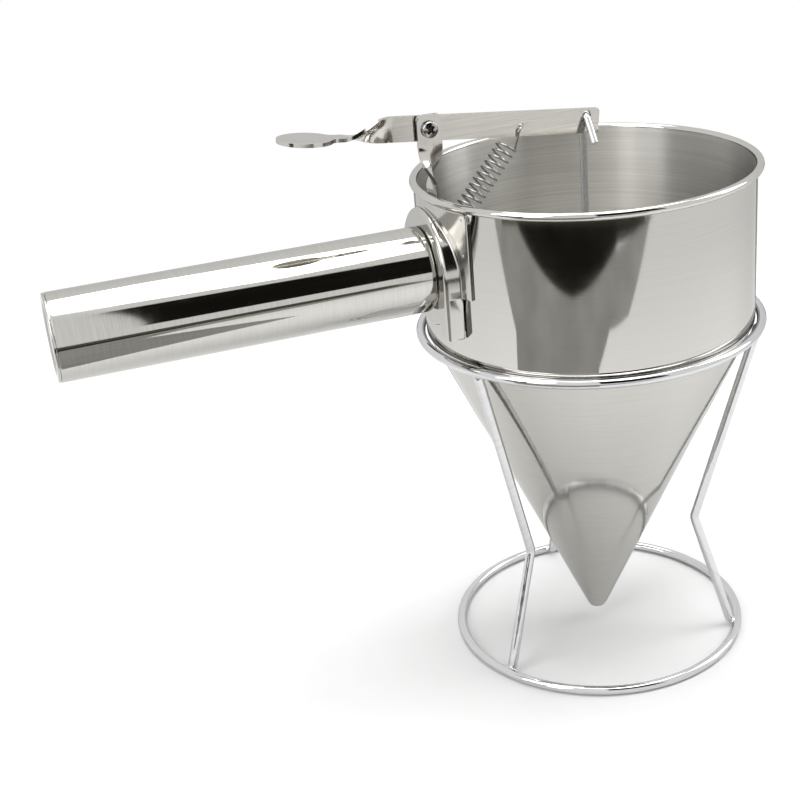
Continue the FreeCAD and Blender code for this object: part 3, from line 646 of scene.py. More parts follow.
def upright_steel():
    return metal_finish("upright_steel", ((0.60, 0.58, 0.55), (0.52, 0.50, 0.47)), (0.08, 0.18),
                        grain="drawn", turn=(0, QUARTER, 0), grain_depth=0.003, wave_depth=0.05)


def bracket_steel():
    return metal_finish("bracket_steel", (STEEL_COLOUR, DULL_STEEL), (0.07, 0.16),
                        grain="drawn", turn=(0, QUARTER, 0), grain_depth=0.002, wave_depth=0.08)


def chrome_wire():
    return metal_finish("chrome_wire", ((0.66, 0.66, 0.67), (0.57, 0.57, 0.58)), (0.04, 0.10),
                        grain_inputs={"Lines": 700.0}, grain_depth=0.001, wave_depth=0.12,
                        marks={"Wave Scale": 120.0})


def plain_steel():
    return metal_finish("plain_steel", ((0.56, 0.55, 0.53), (0.42, 0.41, 0.39)), (0.16, 0.32),
                        turn=(QUARTER, 0, 0), shift=(-PIVOT_X, PIVOT_HEIGHT, 0),
                        grain_inputs={"Lines": 6000.0, "Arcs": 2.0}, grain_depth=0.006)


def screw_steel():
    return metal_finish("screw_steel", ((0.46, 0.45, 0.44), (0.34, 0.33, 0.32)), (0.08, 0.20),
                        turn=(QUARTER, 0, 0), shift=(-PIVOT_X, PIVOT_HEIGHT, 0),
                        grain_inputs={"Lines": 5000.0, "Arcs": 2.0}, grain_depth=0.003)


def recess_shade():
    """The dull, punched walls of the screw's recess, darkened as painted shade."""
    return metal_finish("recess_shade", ((0.10, 0.10, 0.095), (0.05, 0.05, 0.048)), (0.45, 0.65),
                        grain="drawn", grain_depth=0.01)


def outlet_steel():
    return metal_finish("outlet_steel", ((0.56, 0.55, 0.53), (0.44, 0.43, 0.41)), (0.16, 0.30),
                        grain_inputs={"Lines": 5000.0}, grain_depth=0.006)


def spring_steel():
    return metal_finish("spring_steel", ((0.42, 0.42, 0.41), (0.27, 0.27, 0.26)), (0.16, 0.30),
                        grain="drawn", grain_depth=0.003)


def floor_paint():
    """A pale floor that takes the object's shadow and runs out into plain white."""
    material, tree = new_material("floor_paint")
    place = put(tree, "ShaderNodeTexCoord").outputs["Object"]
    away = vector_math(tree, "LENGTH", place, output="Value")
    far = put(tree, "ShaderNodeMapRange", {0: away, 1: FLOOR_CLEAR, 2: FLOOR_WHITE},
              interpolation_type="SMOOTHSTEP")
    mottle = put(tree, "ShaderNodeTexNoise", {"Vector": place, "Scale": 60.0, "Detail": 3.0})
    paint = put(tree, "ShaderNodeMix", {
        0: mottle.outputs[0], 6: (0.90, 0.90, 0.90, 1), 7: (0.93, 0.93, 0.93, 1)},
        data_type="RGBA")
    matt = put(tree, "ShaderNodeBsdfPrincipled", {
        "Base Color": paint.outputs[2], "Roughness": 0.7, "Specular IOR Level": 0.2})
    white = put(tree, "ShaderNodeEmission", {"Color": (1, 1, 1, 1), "Strength": 1.0})
    share = math_node(tree, "MULTIPLY", far.outputs[0], seen_directly(tree))
    surface(tree, put(tree, "ShaderNodeMixShader", {
        0: share, 1: matt.outputs[0], 2: white.outputs[0]}))
    return material


def painted_reflection_material(name, dark, light):
    """A painted reflection: a glowing shade that mirrors show, for the dark and shadowed places
    round the stand, whatever light falls on it.
    """
    material, tree = new_material(name)
    place = put(tree, "ShaderNodeTexCoord").outputs["Object"]
    patchiness = put(tree, "ShaderNodeTexNoise", {"Vector": place, "Scale": 6.0, "Detail": 2.0})
    shade = put(tree, "ShaderNodeMix", {
        0: patchiness.outputs[0], 6: (*dark, 1), 7: (*light, 1)},
        data_type="RGBA")
    surface(tree, put(tree, "ShaderNodeEmission", {"Color": shade.outputs[2], "Strength": 1.0}))
    return material


# Cup and cone

def cone_slope():
    return (CUP_RADIUS - TIP_RADIUS) / (CUP_BOTTOM - TIP_HEIGHT)


def cup():
    """Straight wall with its top edge rolled outwards, and a soft bend where the cone starts."""
    inner = CUP_RADIUS - SHEET_WALL
    centre = (inner + CURL_RADIUS, CUP_TOP)
    lean = math.atan(cone_slope())
    reach = SEAM_RADIUS * math.tan(lean / 2)
    bend = (CUP_RADIUS - SEAM_RADIUS, CUP_BOTTOM + reach)
    end = 180.0 - CURL_SWEEP
    middle = CUP_BOTTOM + WALL_ROW
    outline = [(inner, CUP_BOTTOM), (inner, middle), (inner, CUP_TOP - 1.0)]
    outline += arc(centre, CURL_RADIUS, 180.0, end, 40)
    outline += arc(centre, CURL_RADIUS - SHEET_WALL, end, 180.0, 32)
    outline += [(CUP_RADIUS, CUP_TOP - 1.0), (CUP_RADIUS, middle),
                (CUP_RADIUS, CUP_BOTTOM + 1.2)]
    outline += arc(bend, SEAM_RADIUS, 0.0, -math.degrees(lean), 5)
    item = turned("cup_with_rolled_rim", outline, MIRROR_STEEL, 256, lining=LINING_STEEL,
                  lining_height=CUP_TOP - 0.3)
    return finished(item, "funnel", "polished_steel", "cup_wall")


def cone():
    slope = cone_slope()
    wall = SHEET_WALL * math.sqrt(1 + slope * slope)
    top = CUP_BOTTOM - 0.35
    top_radius = CUP_RADIUS - (CUP_BOTTOM - top) * slope
    outline = softened([
        (TIP_RADIUS, TIP_HEIGHT, 0.3),
        (top_radius, top, 0),
        (top_radius - wall, top, 0),
        (TIP_RADIUS - wall, TIP_HEIGHT, 0.3),
    ], 4)
    item = turned("cone", outline, CONE_STEEL, 256, lining=LINING_STEEL,
                  lining_height=CUP_BOTTOM)
    return finished(item, "funnel", "polished_steel", "funnel_cone")


def outlet():
    slope = cone_slope()
    tip_inner = TIP_RADIUS - SHEET_WALL * math.sqrt(1 + slope * slope)
    outline = softened([
        (BORE_RADIUS, OUTLET_BOTTOM, 0.25),
        (tip_inner, OUTLET_BOTTOM, 0.4),
        (tip_inner, TIP_HEIGHT, 0),
        (*SEAT_TOP, 0),
        (BORE_RADIUS, SEAT_BOTTOM, 0.2),
    ], 4, 0.2)
    item = turned("outlet_with_valve_seat", outline, OUTLET_STEEL, 96)
    return finished(item, "funnel", "plain_steel", "outlet_nozzle")


# Wire stand

def circle_path(radius, height, count):
    return [(x, y, height) for x, y in arc((0, 0), radius, 0.0, 360.0, count)[:-1]]


def ring(name, place, node):
    item = wire(name, circle_path(*place, 240), WIRE_RADIUS, CHROME_WIRE, closed=True)
    return finished(item, "stand", "chromed_wire", node)


def legs():
    """One bent leg, its two ends domed, repeated round the stand."""
    path = [(place[0], 0, place[1]) for place in (LEG_TOP, LEG_WAIST, LEG_FOOT)]
    item = wire("leg", path, WIRE_RADIUS, CHROME_WIRE, bend=LEG_BEND)
    dome = bmesh.new()
    dome.from_mesh(item.data)
    for place in (path[0], path[-1]):
        bmesh.ops.create_uvsphere(dome, u_segments=24, v_segments=12, radius=WIRE_RADIUS * MM,
                                  matrix=Matrix.Translation(Vector(place) * MM))
    for face in dome.faces:
        face.smooth = True
    dome.to_mesh(item.data)
    item.name = "stand_legs"
    grown(item, RING_OF_COPIES, {"Count": LEG_COUNT, "First Angle": math.radians(LEG_AZIMUTH),
                                 "Metal": CHROME_WIRE})
    return finished(item, "stand", "chromed_wire",
                    "stand_leg_left", "stand_leg_right", "stand_leg_back")


def stand_welds():
    """A bead of weld where each leg meets each ring."""
    beads = bmesh.new()
    for ring_place, leg_place in ((TOP_RING, LEG_TOP), (BASE_RING, LEG_FOOT)):
        middle = (Vector(ring_place) + Vector(leg_place)) / 2
        size = Matrix.Diagonal((BEAD_RADIUS, BEAD_LENGTH, BEAD_RADIUS, 1 / MM)) * MM
        spot = Matrix.Translation(Vector((middle.x, 0, middle.y)) * MM)
        bmesh.ops.create_icosphere(beads, subdivisions=3, radius=1.0, matrix=spot @ size)
    mesh = bpy.data.meshes.new("stand_welds")
    beads.to_mesh(mesh)
    item = new_object("stand_welds", mesh)
    grown(item, RING_OF_COPIES, {"Count": LEG_COUNT, "First Angle": math.radians(LEG_AZIMUTH),
                                 "Metal": CHROME_WIRE})
    return finished(shaded(item, 60), "stand", "chromed_wire")


# Handle

def on_handle_axis(item):
    """Turn a piece's own Z axis away from the cup and lift it to the handle's height."""
    place = Matrix.Translation((0, 0, HANDLE_HEIGHT * MM))
    return moved(item, place @ Matrix.Rotation(-QUARTER, 4, "Y"))


def handle_flange():
    bore = NECK_RADIUS - TUBE_WALL
    outline = softened([
        (0, FLANGE_FACE, 0),
        (FLANGE_RADIUS, FLANGE_FACE, 0.75),
        (FLANGE_RADIUS, FLANGE_BACK, 0.75),
        (NECK_RADIUS, FLANGE_BACK, 0.3),
        (NECK_RADIUS, TUBE_START, 0),
        (TUBE_RADIUS - TUBE_WALL, TUBE_START, 0),
        (TUBE_RADIUS - TUBE_WALL, TUBE_START + SOCKET_DEPTH, 0),
        (bore, TUBE_START + SOCKET_DEPTH, 0),
        (bore, FLANGE_BACK, 0),
        (0, FLANGE_BACK, 0),
    ], 6)
    item = on_handle_axis(turned("handle_flange_with_neck", outline, HANDLE_STEEL, 128,
                                 closed=False))
    return finished(item, "handle", "polished_steel", "handle_flange")


def handle_tube():
    outline = softened([
        (TUBE_RADIUS - TUBE_WALL, TUBE_START, 0.2),
        (TUBE_RADIUS, TUBE_START, 0.6),
        (TUBE_RADIUS, TUBE_END, 0.25),
        (TUBE_RADIUS - TUBE_WALL, TUBE_END, 0.2),
    ], 5)
    item = on_handle_axis(turned("handle_grip_tube", outline, HANDLE_STEEL, 192))
    return finished(item, "handle", "polished_steel", "handle_tube")


def handle_cap():
    """A pressed disc with a rounded lip, a shallow dish, and a spigot inside the tube."""
    spigot = TUBE_RADIUS - TUBE_WALL
    outline = softened([
        (0, CAP_END - DISH_CROWN, 0),
        (DISH_RADIUS, CAP_END - DISH_DEPTH, 0.6),
        (DISH_EDGE, CAP_END, 0.6),
        (CAP_RADIUS, CAP_END, 0.6),
        (CAP_RADIUS, TUBE_END + 0.15, 0.2),
        (spigot, TUBE_END + 0.15, 0),
        (spigot, TUBE_END - CAP_SPIGOT, 0),
        (spigot - 1.0, TUBE_END - CAP_SPIGOT, 0),
        (spigot - 1.0, TUBE_END, 0),
        (0, TUBE_END, 0),
    ], 5, 0.2)
    item = on_handle_axis(turned("handle_end_disc", outline, HANDLE_STEEL, 128, closed=False))
    return finished(item, "handle", "polished_steel", "handle_end_cap")


# Bracket

def wall_depth(across):
    """How far out from the cup's axis the middle of the wall plate lies."""
    radius = CUP_RADIUS + BRACKET_SHEET / 2 + 0.05
    return math.sqrt(radius * radius - across * across)


def plate_edge(angle):
    """Distance from the handle's axis to the wall plate's outline, which has rounded corners."""
    height = PLATE_TOP - HANDLE_HEIGHT
    across, up = abs(math.cos(angle)), math.sin(angle)
    reach = min(PLATE_HALF_WIDTH / max(across, 1e-6), height / max(up, 1e-6))
    corner = Vector((PLATE_HALF_WIDTH - PLATE_CORNER, height - PLATE_CORNER))
    along = Vector((across, up)).dot(corner)
    gap = corner.length_squared - PLATE_CORNER ** 2
    spot = Vector((across, up)) * reach
    if spot.x > corner.x and spot.y > corner.y:
        reach = along + math.sqrt(max(along * along - gap, 0))
    return reach


def bracket_section(centre, outwards, plated):
    """One line across the pressed sheet, from the slot's edge out to the wall plate's edge."""
    points = []

    def add(reach, depth):
        across = centre[0] + outwards[0] * reach
        up = centre[1] + outwards[1] * reach
        points.append((-(depth(across) if callable(depth) else depth), across, up))

    side = POCKET_RADIUS
    for reach in (SLOT_RADIUS, SLOT_RADIUS + 0.5, side - POCKET_BEND - 0.4):
        add(reach, POCKET_FACE)
    for reach, depth in arc((side - POCKET_BEND, POCKET_FACE - POCKET_BEND), POCKET_BEND,
                            90.0, 0.0, 6):
        add(reach, depth)
    foot = wall_depth(centre[0] + outwards[0] * side)
    if not plated:
        add(side, POCKET_FACE - POCKET_BEND - 0.2)
        add(side, foot + 0.5)
        add(side, foot)
        return points
    foot_bend = min(FOOT_BEND, POCKET_FACE - POCKET_BEND - foot - 0.05)
    for reach, rise in arc((side + foot_bend, foot_bend), foot_bend, 180.0, 270.0, 5):
        add(reach, lambda across, rise=rise: wall_depth(across) + rise)
    edge = plate_edge(math.atan2(outwards[1], outwards[0])) if outwards[1] > 0 else (
        PLATE_HALF_WIDTH)
    start = side + foot_bend
    for share in (0.1, 0.4, 0.7, 0.92, 1.0):
        add(start + (edge - start) * share, wall_depth)
    return points


def bracket():
    """A pressed plate with a raised pocket. Its slot is open below, between two arms."""
    sections = []
    straight = [(height, False) for height in ARM_LEVELS]
    straight += [(height, True) for height in PLATE_LEVELS]
    for height, plated in straight:
        sections.append(bracket_section((0, height), (1, 0), plated))
    for outwards in arc((0, 0), 1.0, 0.0, 180.0, ARCH_STEPS):
        sections.append(bracket_section((0, HANDLE_HEIGHT), outwards, True))
    for height, plated in reversed(straight):
        sections.append(bracket_section((0, height), (-1, 0), plated))

    points, rows, faces = [], [], []
    for section in sections:
        rows.append([len(points) + number for number in range(len(section))])
        points += section
    for row, following in zip(rows, rows[1:]):
        alike = len(row) if len(row) == len(following) else POCKET_POINTS
        faces += [(row[n], following[n], following[n + 1], row[n + 1]) for n in range(alike - 1)]
        if len(row) != len(following):
            faces += bridge(row[alike - 1:], following[alike - 1:])
    item = from_points("pressed_bracket", points, faces=faces, metal=BRACKET_STEEL)
    sheet = item.modifiers.new("sheet", "SOLIDIFY")
    sheet.thickness = BRACKET_SHEET * MM
    sheet.offset = 0.0
    sheet.use_even_offset = True
    edges = item.modifiers.new("edges", "BEVEL")
    edges.width = BRACKET_EDGE * MM
    edges.segments = 2
    edges.limit_method = "ANGLE"
    edges.angle_limit = math.radians(60)
    plain_mesh(item)
    return finished(shaded(item, 40), "funnel", "polished_steel", "handle_bracket")


def bridge(short, long):
    """Join the side wall's last points to the first points of the wall plate's foot."""
    narrow, wide = (short, long) if len(short) < len(long) else (long, short)
    faces = []
    for number in range(len(narrow) - 1):
        faces.append((narrow[number], wide[number], wide[number + 1], narrow[number + 1]))
    if narrow is long:
        faces = [face[::-1] for face in faces]
    return faces


# Flat straps, cut, rounded and twisted

def plate_blank(outline, holes, thickness, edge=0.25):
    """A flat plate in the XZ plane, with holes and with rounded edges."""
    plate = bmesh.new()
    edges = []
    for loop in [outline] + holes:
        corners = [plate.verts.new((x, -thickness / 2, z)) for x, z in loop]
        edges += [plate.edges.new((corners[n - 1], corners[n])) for n in range(len(corners))]
    bmesh.ops.triangle_fill(plate, edges=edges, use_beauty=True)
    raised = bmesh.ops.extrude_face_region(plate, geom=plate.faces[:])["geom"]
    raised = [part for part in raised if isinstance(part, bmesh.types.BMVert)]
    bmesh.ops.translate(plate, verts=raised, vec=(0, thickness, 0))
    bmesh.ops.recalc_face_normals(plate, faces=plate.faces[:])
    rims = [part for part in plate.edges
            if part.calc_face_angle(0) > math.radians(60) and
            abs(part.verts[0].co.y - part.verts[1].co.y) < thickness / 2]
    bmesh.ops.bevel(plate, geom=rims, offset=edge, segments=3, profile=0.5, affect="EDGES",
                    clamp_overlap=True)
    return plate


def cut_across(plate, first, last, count, along):
    """Cut a blank at even stations, so that it bends smoothly when it is twisted."""
    for number in range(count + 1):
        spot = Vector(along) * (first + (last - first) * number / count)
        geometry = plate.verts[:] + plate.edges[:] + plate.faces[:]
        bmesh.ops.bisect_plane(plate, geom=geometry, dist=1e-5, plane_co=spot, plane_no=along)


def eased(share):
    share = min(max(share, 0.0), 1.0)
    return share * share * (3 - 2 * share)


def plate_object(name, plate, metal, place):
    bmesh.ops.recalc_face_normals(plate, faces=plate.faces[:])
    mesh = bpy.data.meshes.new(name)
    plate.to_mesh(mesh)
    mesh.materials.append(metal)
    item = shaded(moved(new_object(name, mesh), Matrix.Scale(MM, 4) @ place), PLATE_SHARP)
    flats = item.modifiers.new("flats", "WEIGHTED_NORMAL")
    flats.keep_sharp = True
    flats.weight = 100
    return plain_mesh(item)


def lever_outline():
    """The strap, its taper, and the thumb pad with a small radius where the neck meets it."""
    half = LEVER_WIDTH / 2
    neck = PAD_NECK / 2
    fillet_up = neck + PAD_FILLET
    fillet_along = math.sqrt((PAD_RADIUS + PAD_FILLET) ** 2 - fillet_up ** 2)
    fillet = (PAD_REACH + fillet_along, fillet_up)
    turn = math.degrees(math.atan2(fillet_up, fillet_along))
    upper = arc((LEVER_INNER_END - LEVER_CORNER, half - LEVER_CORNER), LEVER_CORNER, 0, 90, 6)
    for number in range(1, 13):
        share = number / 12
        x = LEVER_TWIST_START + (LEVER_TWIST_END - LEVER_TWIST_START) * share
        upper.append((x, half + (neck - half) * eased(share)))
    upper.insert(7, (LEVER_TWIST_START, half))
    upper += arc(fillet, PAD_FILLET, 270.0, 180.0 + turn, 6)[0 if fillet[0] < LEVER_TWIST_END
                                                              else 1:]
    upper += arc((PAD_REACH, 0), PAD_RADIUS, turn, 180.0, 40)[1:]
    lower = [(x, -z) for x, z in reversed(upper[:-1])]
    return upper + lower


def lever():
    holes = [arc((0, 0), PIVOT_HOLE, 0, 360, 32)[:-1],
             arc(ROD_HOLE[:2], ROD_HOLE[2], 0, 360, 32)[:-1],
             arc(SPRING_HOLE[:2], SPRING_HOLE[2], 0, 360, 24)[:-1]]
    plate = plate_blank(lever_outline(), holes, LEVER_THICKNESS, LEVER_EDGE)
    cut_across(plate, LEVER_TWIST_START, LEVER_TWIST_END, TWIST_CUTS, (1, 0, 0))
    cut_across(plate, -STRAP_CUT_REACH, STRAP_CUT_REACH, STRAP_CUTS, (0, 0, 1))
    length = LEVER_TWIST_END - LEVER_TWIST_START
    for corner in plate.verts:
        share = eased((corner.co.x - LEVER_TWIST_START) / length)
        turn = QUARTER * share
        wide = Vector((0, -math.sin(turn), math.cos(turn)))
        thin = Vector((0, math.cos(turn), math.sin(turn)))
        centre = Vector((corner.co.x, 0, -LEVER_DROP * share))
        corner.co = centre + wide * corner.co.z + thin * corner.co.y
    place = Matrix.Translation((PIVOT_X, LEVER_MIDDLE, PIVOT_HEIGHT))
    place = place @ Matrix.Rotation(math.radians(LEVER_TILT), 4, "Y")
    item = plate_object("lever_with_thumb_pad", plate, STRAP_STEEL, place)
    return finished(item, "lever", "polished_steel", "thumb_lever")


def upright():
    """A strap with a round-cornered head, twisted so that its foot lies along the cup."""
    half = POST_WIDTH / 2
    outline = softened([
        (-half, POST_BOTTOM, 1.0),
        (half, POST_BOTTOM, 1.0),
        (half, POST_TOP, POST_CORNER),
        (-half, POST_TOP, POST_CORNER),
    ], 6)
    hole = arc((0, PIVOT_HEIGHT), PIVOT_HOLE, 0, 360, 32)[:-1]
    plate = plate_blank(outline, [hole], POST_THICKNESS)
    cut_across(plate, POST_TWIST_BOTTOM, POST_TWIST_TOP, TWIST_CUTS, (0, 0, 1))
    cut_across(plate, -STRAP_CUT_REACH, STRAP_CUT_REACH, STRAP_CUTS, (1, 0, 0))
    for corner in plate.verts:
        share = eased((POST_TWIST_TOP - corner.co.z) / (POST_TWIST_TOP - POST_TWIST_BOTTOM))
        turn = math.radians(POST_TURN * share)
        wide = Vector((math.cos(turn), math.sin(turn), 0))
        thin = Vector((-math.sin(turn), math.cos(turn), 0))
        corner.co = wide * corner.co.x + thin * corner.co.y + Vector((0, 0, corner.co.z))
    item = plate_object("twisted_upright", plate, UPRIGHT_STEEL,
                        Matrix.Translation((PIVOT_X, POST_MIDDLE, 0)))
    return finished(item, "funnel", "polished_steel", "lever_post")


# Screw, washers and nut

def on_pivot_axis(item, across):
    """Turn a piece's own Z axis to point away from the screw's head, and put it on the pivot."""
    place = Matrix.Translation(Vector((PIVOT_X, across, PIVOT_HEIGHT)) * MM)
    return moved(item, place @ Matrix.Rotation(-QUARTER, 4, "X"))


def recess_cutter():
    """A cross set at 45 degrees that narrows towards its bottom."""
    arm, slot = RECESS_ARM, RECESS_SLOT
    quarter = [(arm, -slot), (arm, slot), (slot, slot)]
    cross = []
    for number in range(4):
        turn = Matrix.Rotation(math.radians(45 + 90 * number), 2)
        cross += [turn @ Vector(corner) for corner in quarter]
    points = []
    for size, height in ((1.15, -SCREW_HEAD_HEIGHT - 0.5), (0.7, RECESS_DEPTH - SCREW_HEAD_HEIGHT)):
        points += [(corner.x * size, corner.y * size, height) for corner in cross]
    count = len(cross)
    faces = [tuple(reversed(range(count))), tuple(range(count, 2 * count))]
    faces += [(number, (number + 1) % count, (number + 1) % count + count, number + count)
              for number in range(count)]
    return from_points("recess_cutter", points, faces=faces, metal=RECESS_SHADE)


def screw():
    length = SCREW_END - SCREW_FACE
    flat = SCREW_HEAD - SCREW_EDGE
    crown = math.degrees(math.asin(flat / SCREW_CROWN))
    outline = arc((0, SCREW_CROWN - SCREW_HEAD_HEIGHT), SCREW_CROWN, -90, crown - 90, 6)
    outline += arc((flat, outline[-1][1] + SCREW_EDGE), SCREW_EDGE, crown - 90, 0, 7)[1:]
    outline += [(SCREW_HEAD, -0.15), (SCREW_HEAD - 0.15, 0), (SCREW_RADIUS, 0),
                (SCREW_RADIUS, length - 0.4), (SCREW_RADIUS - 0.4, length), (0, length)]
    item = turned("cross_recess_screw", outline, SCREW_STEEL, 64, closed=False)
    cutter = recess_cutter()
    recess = item.modifiers.new("recess", "BOOLEAN")
    recess.operation = "DIFFERENCE"
    recess.solver = "EXACT"
    # The recess's walls take the cutter's dark metal, which is painted shade.
    recess.material_mode = "TRANSFER"
    recess.object = cutter
    plain_mesh(item)
    bpy.data.objects.remove(cutter)
    item = on_pivot_axis(shaded(item), SCREW_FACE)
    return finished(item, "funnel", "plain_steel", "pivot_screw")


def washer(name, face, node):
    outline = softened([
        (PIVOT_HOLE, 0, 0.15),
        (WASHER_RADIUS, 0, 0.25),
        (WASHER_RADIUS, WASHER_THICKNESS, 0.25),
        (PIVOT_HOLE, WASHER_THICKNESS, 0.15),
    ], 4, 0.2)
    item = on_pivot_axis(turned(name, outline, PLAIN_STEEL, 64), face)
    return finished(item, "funnel", "plain_steel", node)


def nut():
    """A hexagon whose corners are turned down to a cone at each face."""
    flats = NUT_FLATS / 2
    levels = list(NUT_LEVELS) + [NUT_THICKNESS - level for level in reversed(NUT_LEVELS)]
    around = NUT_STEPS
    points, faces = [], []
    rings = [(SCREW_RADIUS, levels[0], False)] + [(0, level, True) for level in levels]
    rings += [(SCREW_RADIUS, levels[-1], False)]
    for radius, level, hexagonal in rings:
        for number in range(around):
            angle = math.tau * number / around
            reach = radius
            if hexagonal:
                sector = (angle + math.pi / 6) % (math.pi / 3) - math.pi / 6
                depth = min(level, NUT_THICKNESS - level)
                reach = min(flats / math.cos(sector), flats * 0.97 + NUT_CHAMFER * depth)
            points.append((reach * math.cos(angle), reach * math.sin(angle), level))
    for level in range(len(rings)):
        following = (level + 1) % len(rings)
        for number in range(around):
            beside = (number + 1) % around
            faces.append((level * around + number, level * around + beside,
                          following * around + beside, following * around + number))
    item = from_points("chamfered_nut", points, faces=faces, metal=PLAIN_STEEL)
    item = on_pivot_axis(shaded(item, 25), NUT_FACE)
    return finished(item, "funnel", "plain_steel", "pivot_nut")


# Rod and plug

def rod():
    """A straight rod whose top hooks through the lever and leans out from it."""
    path = [(0, 0, ROD_FOOT), (0, 0, ROD_MIDDLE), (0, 0, ROD_BEND_HEIGHT)]
    bend = arc((-ROD_BEND, ROD_BEND_HEIGHT), ROD_BEND, 0, 180 - ROD_TAIL_LEAN, 24)
    lean = math.radians(ROD_TAIL_LEAN)
    tail = (bend[-1][0] - ROD_TAIL * math.sin(lean), bend[-1][1] - ROD_TAIL * math.cos(lean))
    path += [(0, y, z) for y, z in bend[1:] + [tail]]
    item = wire("hooked_plug_rod", path, ROD_RADIUS, CHROME_WIRE)
    return finished(item, "valve", "chromed_wire", "plug_rod")


def plug():
    outline = arc((0, PLUG_HEIGHT), PLUG_RADIUS, -90.0, 70.0, 32)
    outline[0] = (0, PLUG_HEIGHT - PLUG_RADIUS)
    outline += [(ROD_RADIUS, PLUG_HEIGHT + PLUG_RADIUS - 0.1), (0, PLUG_HEIGHT + 3.9)]
    item = turned("ball_plug", outline, OUTLET_STEEL, 64, closed=False)
    return finished(item, "valve", "plain_steel", "valve_plug")


# Return spring and its eye

def spring_path():
    """One wire: a bow through the eye, a shank, open turns, a shank, a bow in the lever's hole."""
    along = (SPRING_TOP - SPRING_EYE).normalized()
    side = Vector((0, 1, 0))
    side = (side - along * along.dot(side)).normalized()
    third = along.cross(side)
    body = (SPRING_TOP - SPRING_EYE).length - 2 * SPRING_HOOK
    turns = round(body / SPRING_PITCH) + SPRING_END_TURN

    def bow(end, inwards):
        """From the wire's free end, round the bow's tip, to where its shank starts."""
        points = []
        for step in range(17):
            angle = math.radians(-20 + 200 * step / 16)
            points.append(end + along * inwards * SPRING_BOW * (1 - math.sin(angle))
                          + side * SPRING_BOW * math.cos(angle))
        return points

    coil = []
    for step in range(round(turns * TURN_STEPS) + 1):
        share = min(step / (turns * TURN_STEPS), 1.0)
        angle = math.pi + math.tau * turns * share
        across = side * math.cos(angle) + third * math.sin(angle)
        coil.append(SPRING_EYE + along * (SPRING_HOOK + body * share) + across * SPRING_COIL)
    lower, upper = bow(SPRING_EYE, 1), bow(SPRING_TOP, -1)[::-1]
    shares = [eased(step / 7) for step in range(1, 7)]
    lower_shank = [lower[-1].lerp(coil[0], share) for share in shares]
    upper_shank = [coil[-1].lerp(upper[0], share) for share in shares]
    return lower + lower_shank + coil + upper_shank + upper


def spring():
    item = wire("return_spring_wire", spring_path(), SPRING_WIRE, SPRING_STEEL, sides=12)
    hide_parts("return_spring")
    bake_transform(item)
    return item


def spring_eye():
    path = [(SPRING_EYE.x + x, SPRING_EYE.y, SPRING_EYE.z + z)
            for x, z in arc((0, 0), EYE_RADIUS, 0, 360, 48)[:-1]]
    item = wire("spring_anchor_eye", path, EYE_WIRE, PLAIN_STEEL, closed=True, sides=16)
    return finished(item, "funnel", "plain_steel", "spring_eye")


# Weld marks

def weld_marks(name, size, places):
    """Small flattened domes. Each place is a spot and the direction that the dome stands in."""
    dome = bmesh.new()
    bmesh.ops.create_icosphere(dome, subdivisions=3, radius=1.0, matrix=Matrix.Diagonal(
        (size[0] * MM, size[1] * MM, size[2] * MM, 1.0)))
    mesh = bpy.data.meshes.new("weld_dome")
    dome.to_mesh(mesh)
    mesh.shade_smooth()
    piece = new_object("weld_dome", mesh)
    item = from_points(name, [spot for spot, _ in places])
    direction = item.data.attributes.new("stand_along", "FLOAT_VECTOR", "POINT")
    for number, (_, along) in enumerate(places):
        direction.data[number].vector = along
    grown(item, PIECE_AT_EACH_POINT, {"Piece": piece, "Metal": PLAIN_STEEL})
    bpy.data.objects.remove(piece)
    item.data.shade_smooth()
    return finished(item, "funnel", "plain_steel")


def bracket_welds():
    """The marks left by the spot welder down both sides of the bracket's plate."""
    across = PLATE_HALF_WIDTH - SPOT_INSET
    depth = wall_depth(across) + BRACKET_SHEET / 2
    places = []
    for side in (-1, 1):
        outwards = (-depth / CUP_RADIUS, side * across / CUP_RADIUS, 0)
        places += [((-depth, side * across, height), outwards) for height in SPOT_HEIGHTS]
    return weld_marks("bracket_spot_welds", (SPOT_RADIUS, SPOT_RADIUS, SPOT_RISE), places)


def eye_weld():
    """The bead that joins the spring's eye to the upright."""
    outwards = Vector((SPRING_EYE.x, SPRING_EYE.y, 0)).normalized()
    spot = SPRING_EYE + outwards * (EYE_RADIUS + 0.1)
    return weld_marks("spring_eye_weld", EYE_BEAD, [(spot, outwards)])


# Studio

FLOOR_CLEAR = 0.30
FLOOR_WHITE = 0.75
FLOOR_RADIUS = 3.0
WORLD_LIGHT = 0.45


def floor():
    mesh = bpy.data.meshes.new("floor")
    disc = bmesh.new()
    bmesh.ops.create_circle(disc, cap_ends=True, segments=96, radius=FLOOR_RADIUS)
    disc.to_mesh(mesh)
    mesh.materials.append(floor_paint())
    new_object("floor", mesh)


def painted_reflection_sheet(name, points, metal):
    """A glowing sheet that only reflections see: a painted reflection, to give the steel its
    contrast.
    """
    turn = Matrix.Rotation(math.radians(CAMERA_AZIMUTH), 3, "Z")
    mesh = bpy.data.meshes.new(name)
    mesh.from_pydata([turn @ Vector(point) for point in points], [], [tuple(range(len(points)))])
    mesh.materials.append(metal)
    item = new_object(name, mesh)
    item.visible_camera = False
    item.visible_diffuse = False
    item.visible_shadow = False
    item.visible_transmission = False


def on_ground(points, height):
    return [(x, y, height) for x, y in points]


# Painted reflections that lie on the floor as parts of a ring. Angles are from +X in the camera's
# frame, distances are metres from the stand's axis, and each sheet lies above the one under it.
RING_REFLECTION_SHEETS = (
    ("olive_ground_cloth", "olive", (216, 307), (0.75, 1.3), 0.003),
    ("grey_back_cloth", "grey", (62, 118), (0.2, 2.6), 0.002),
    ("olive_back_cloth", "olive", (72, 92), (0.26, 2.6), 0.003),
    ("black_back_cloth", "black", (77, 84), (0.32, 2.6), 0.004),
)
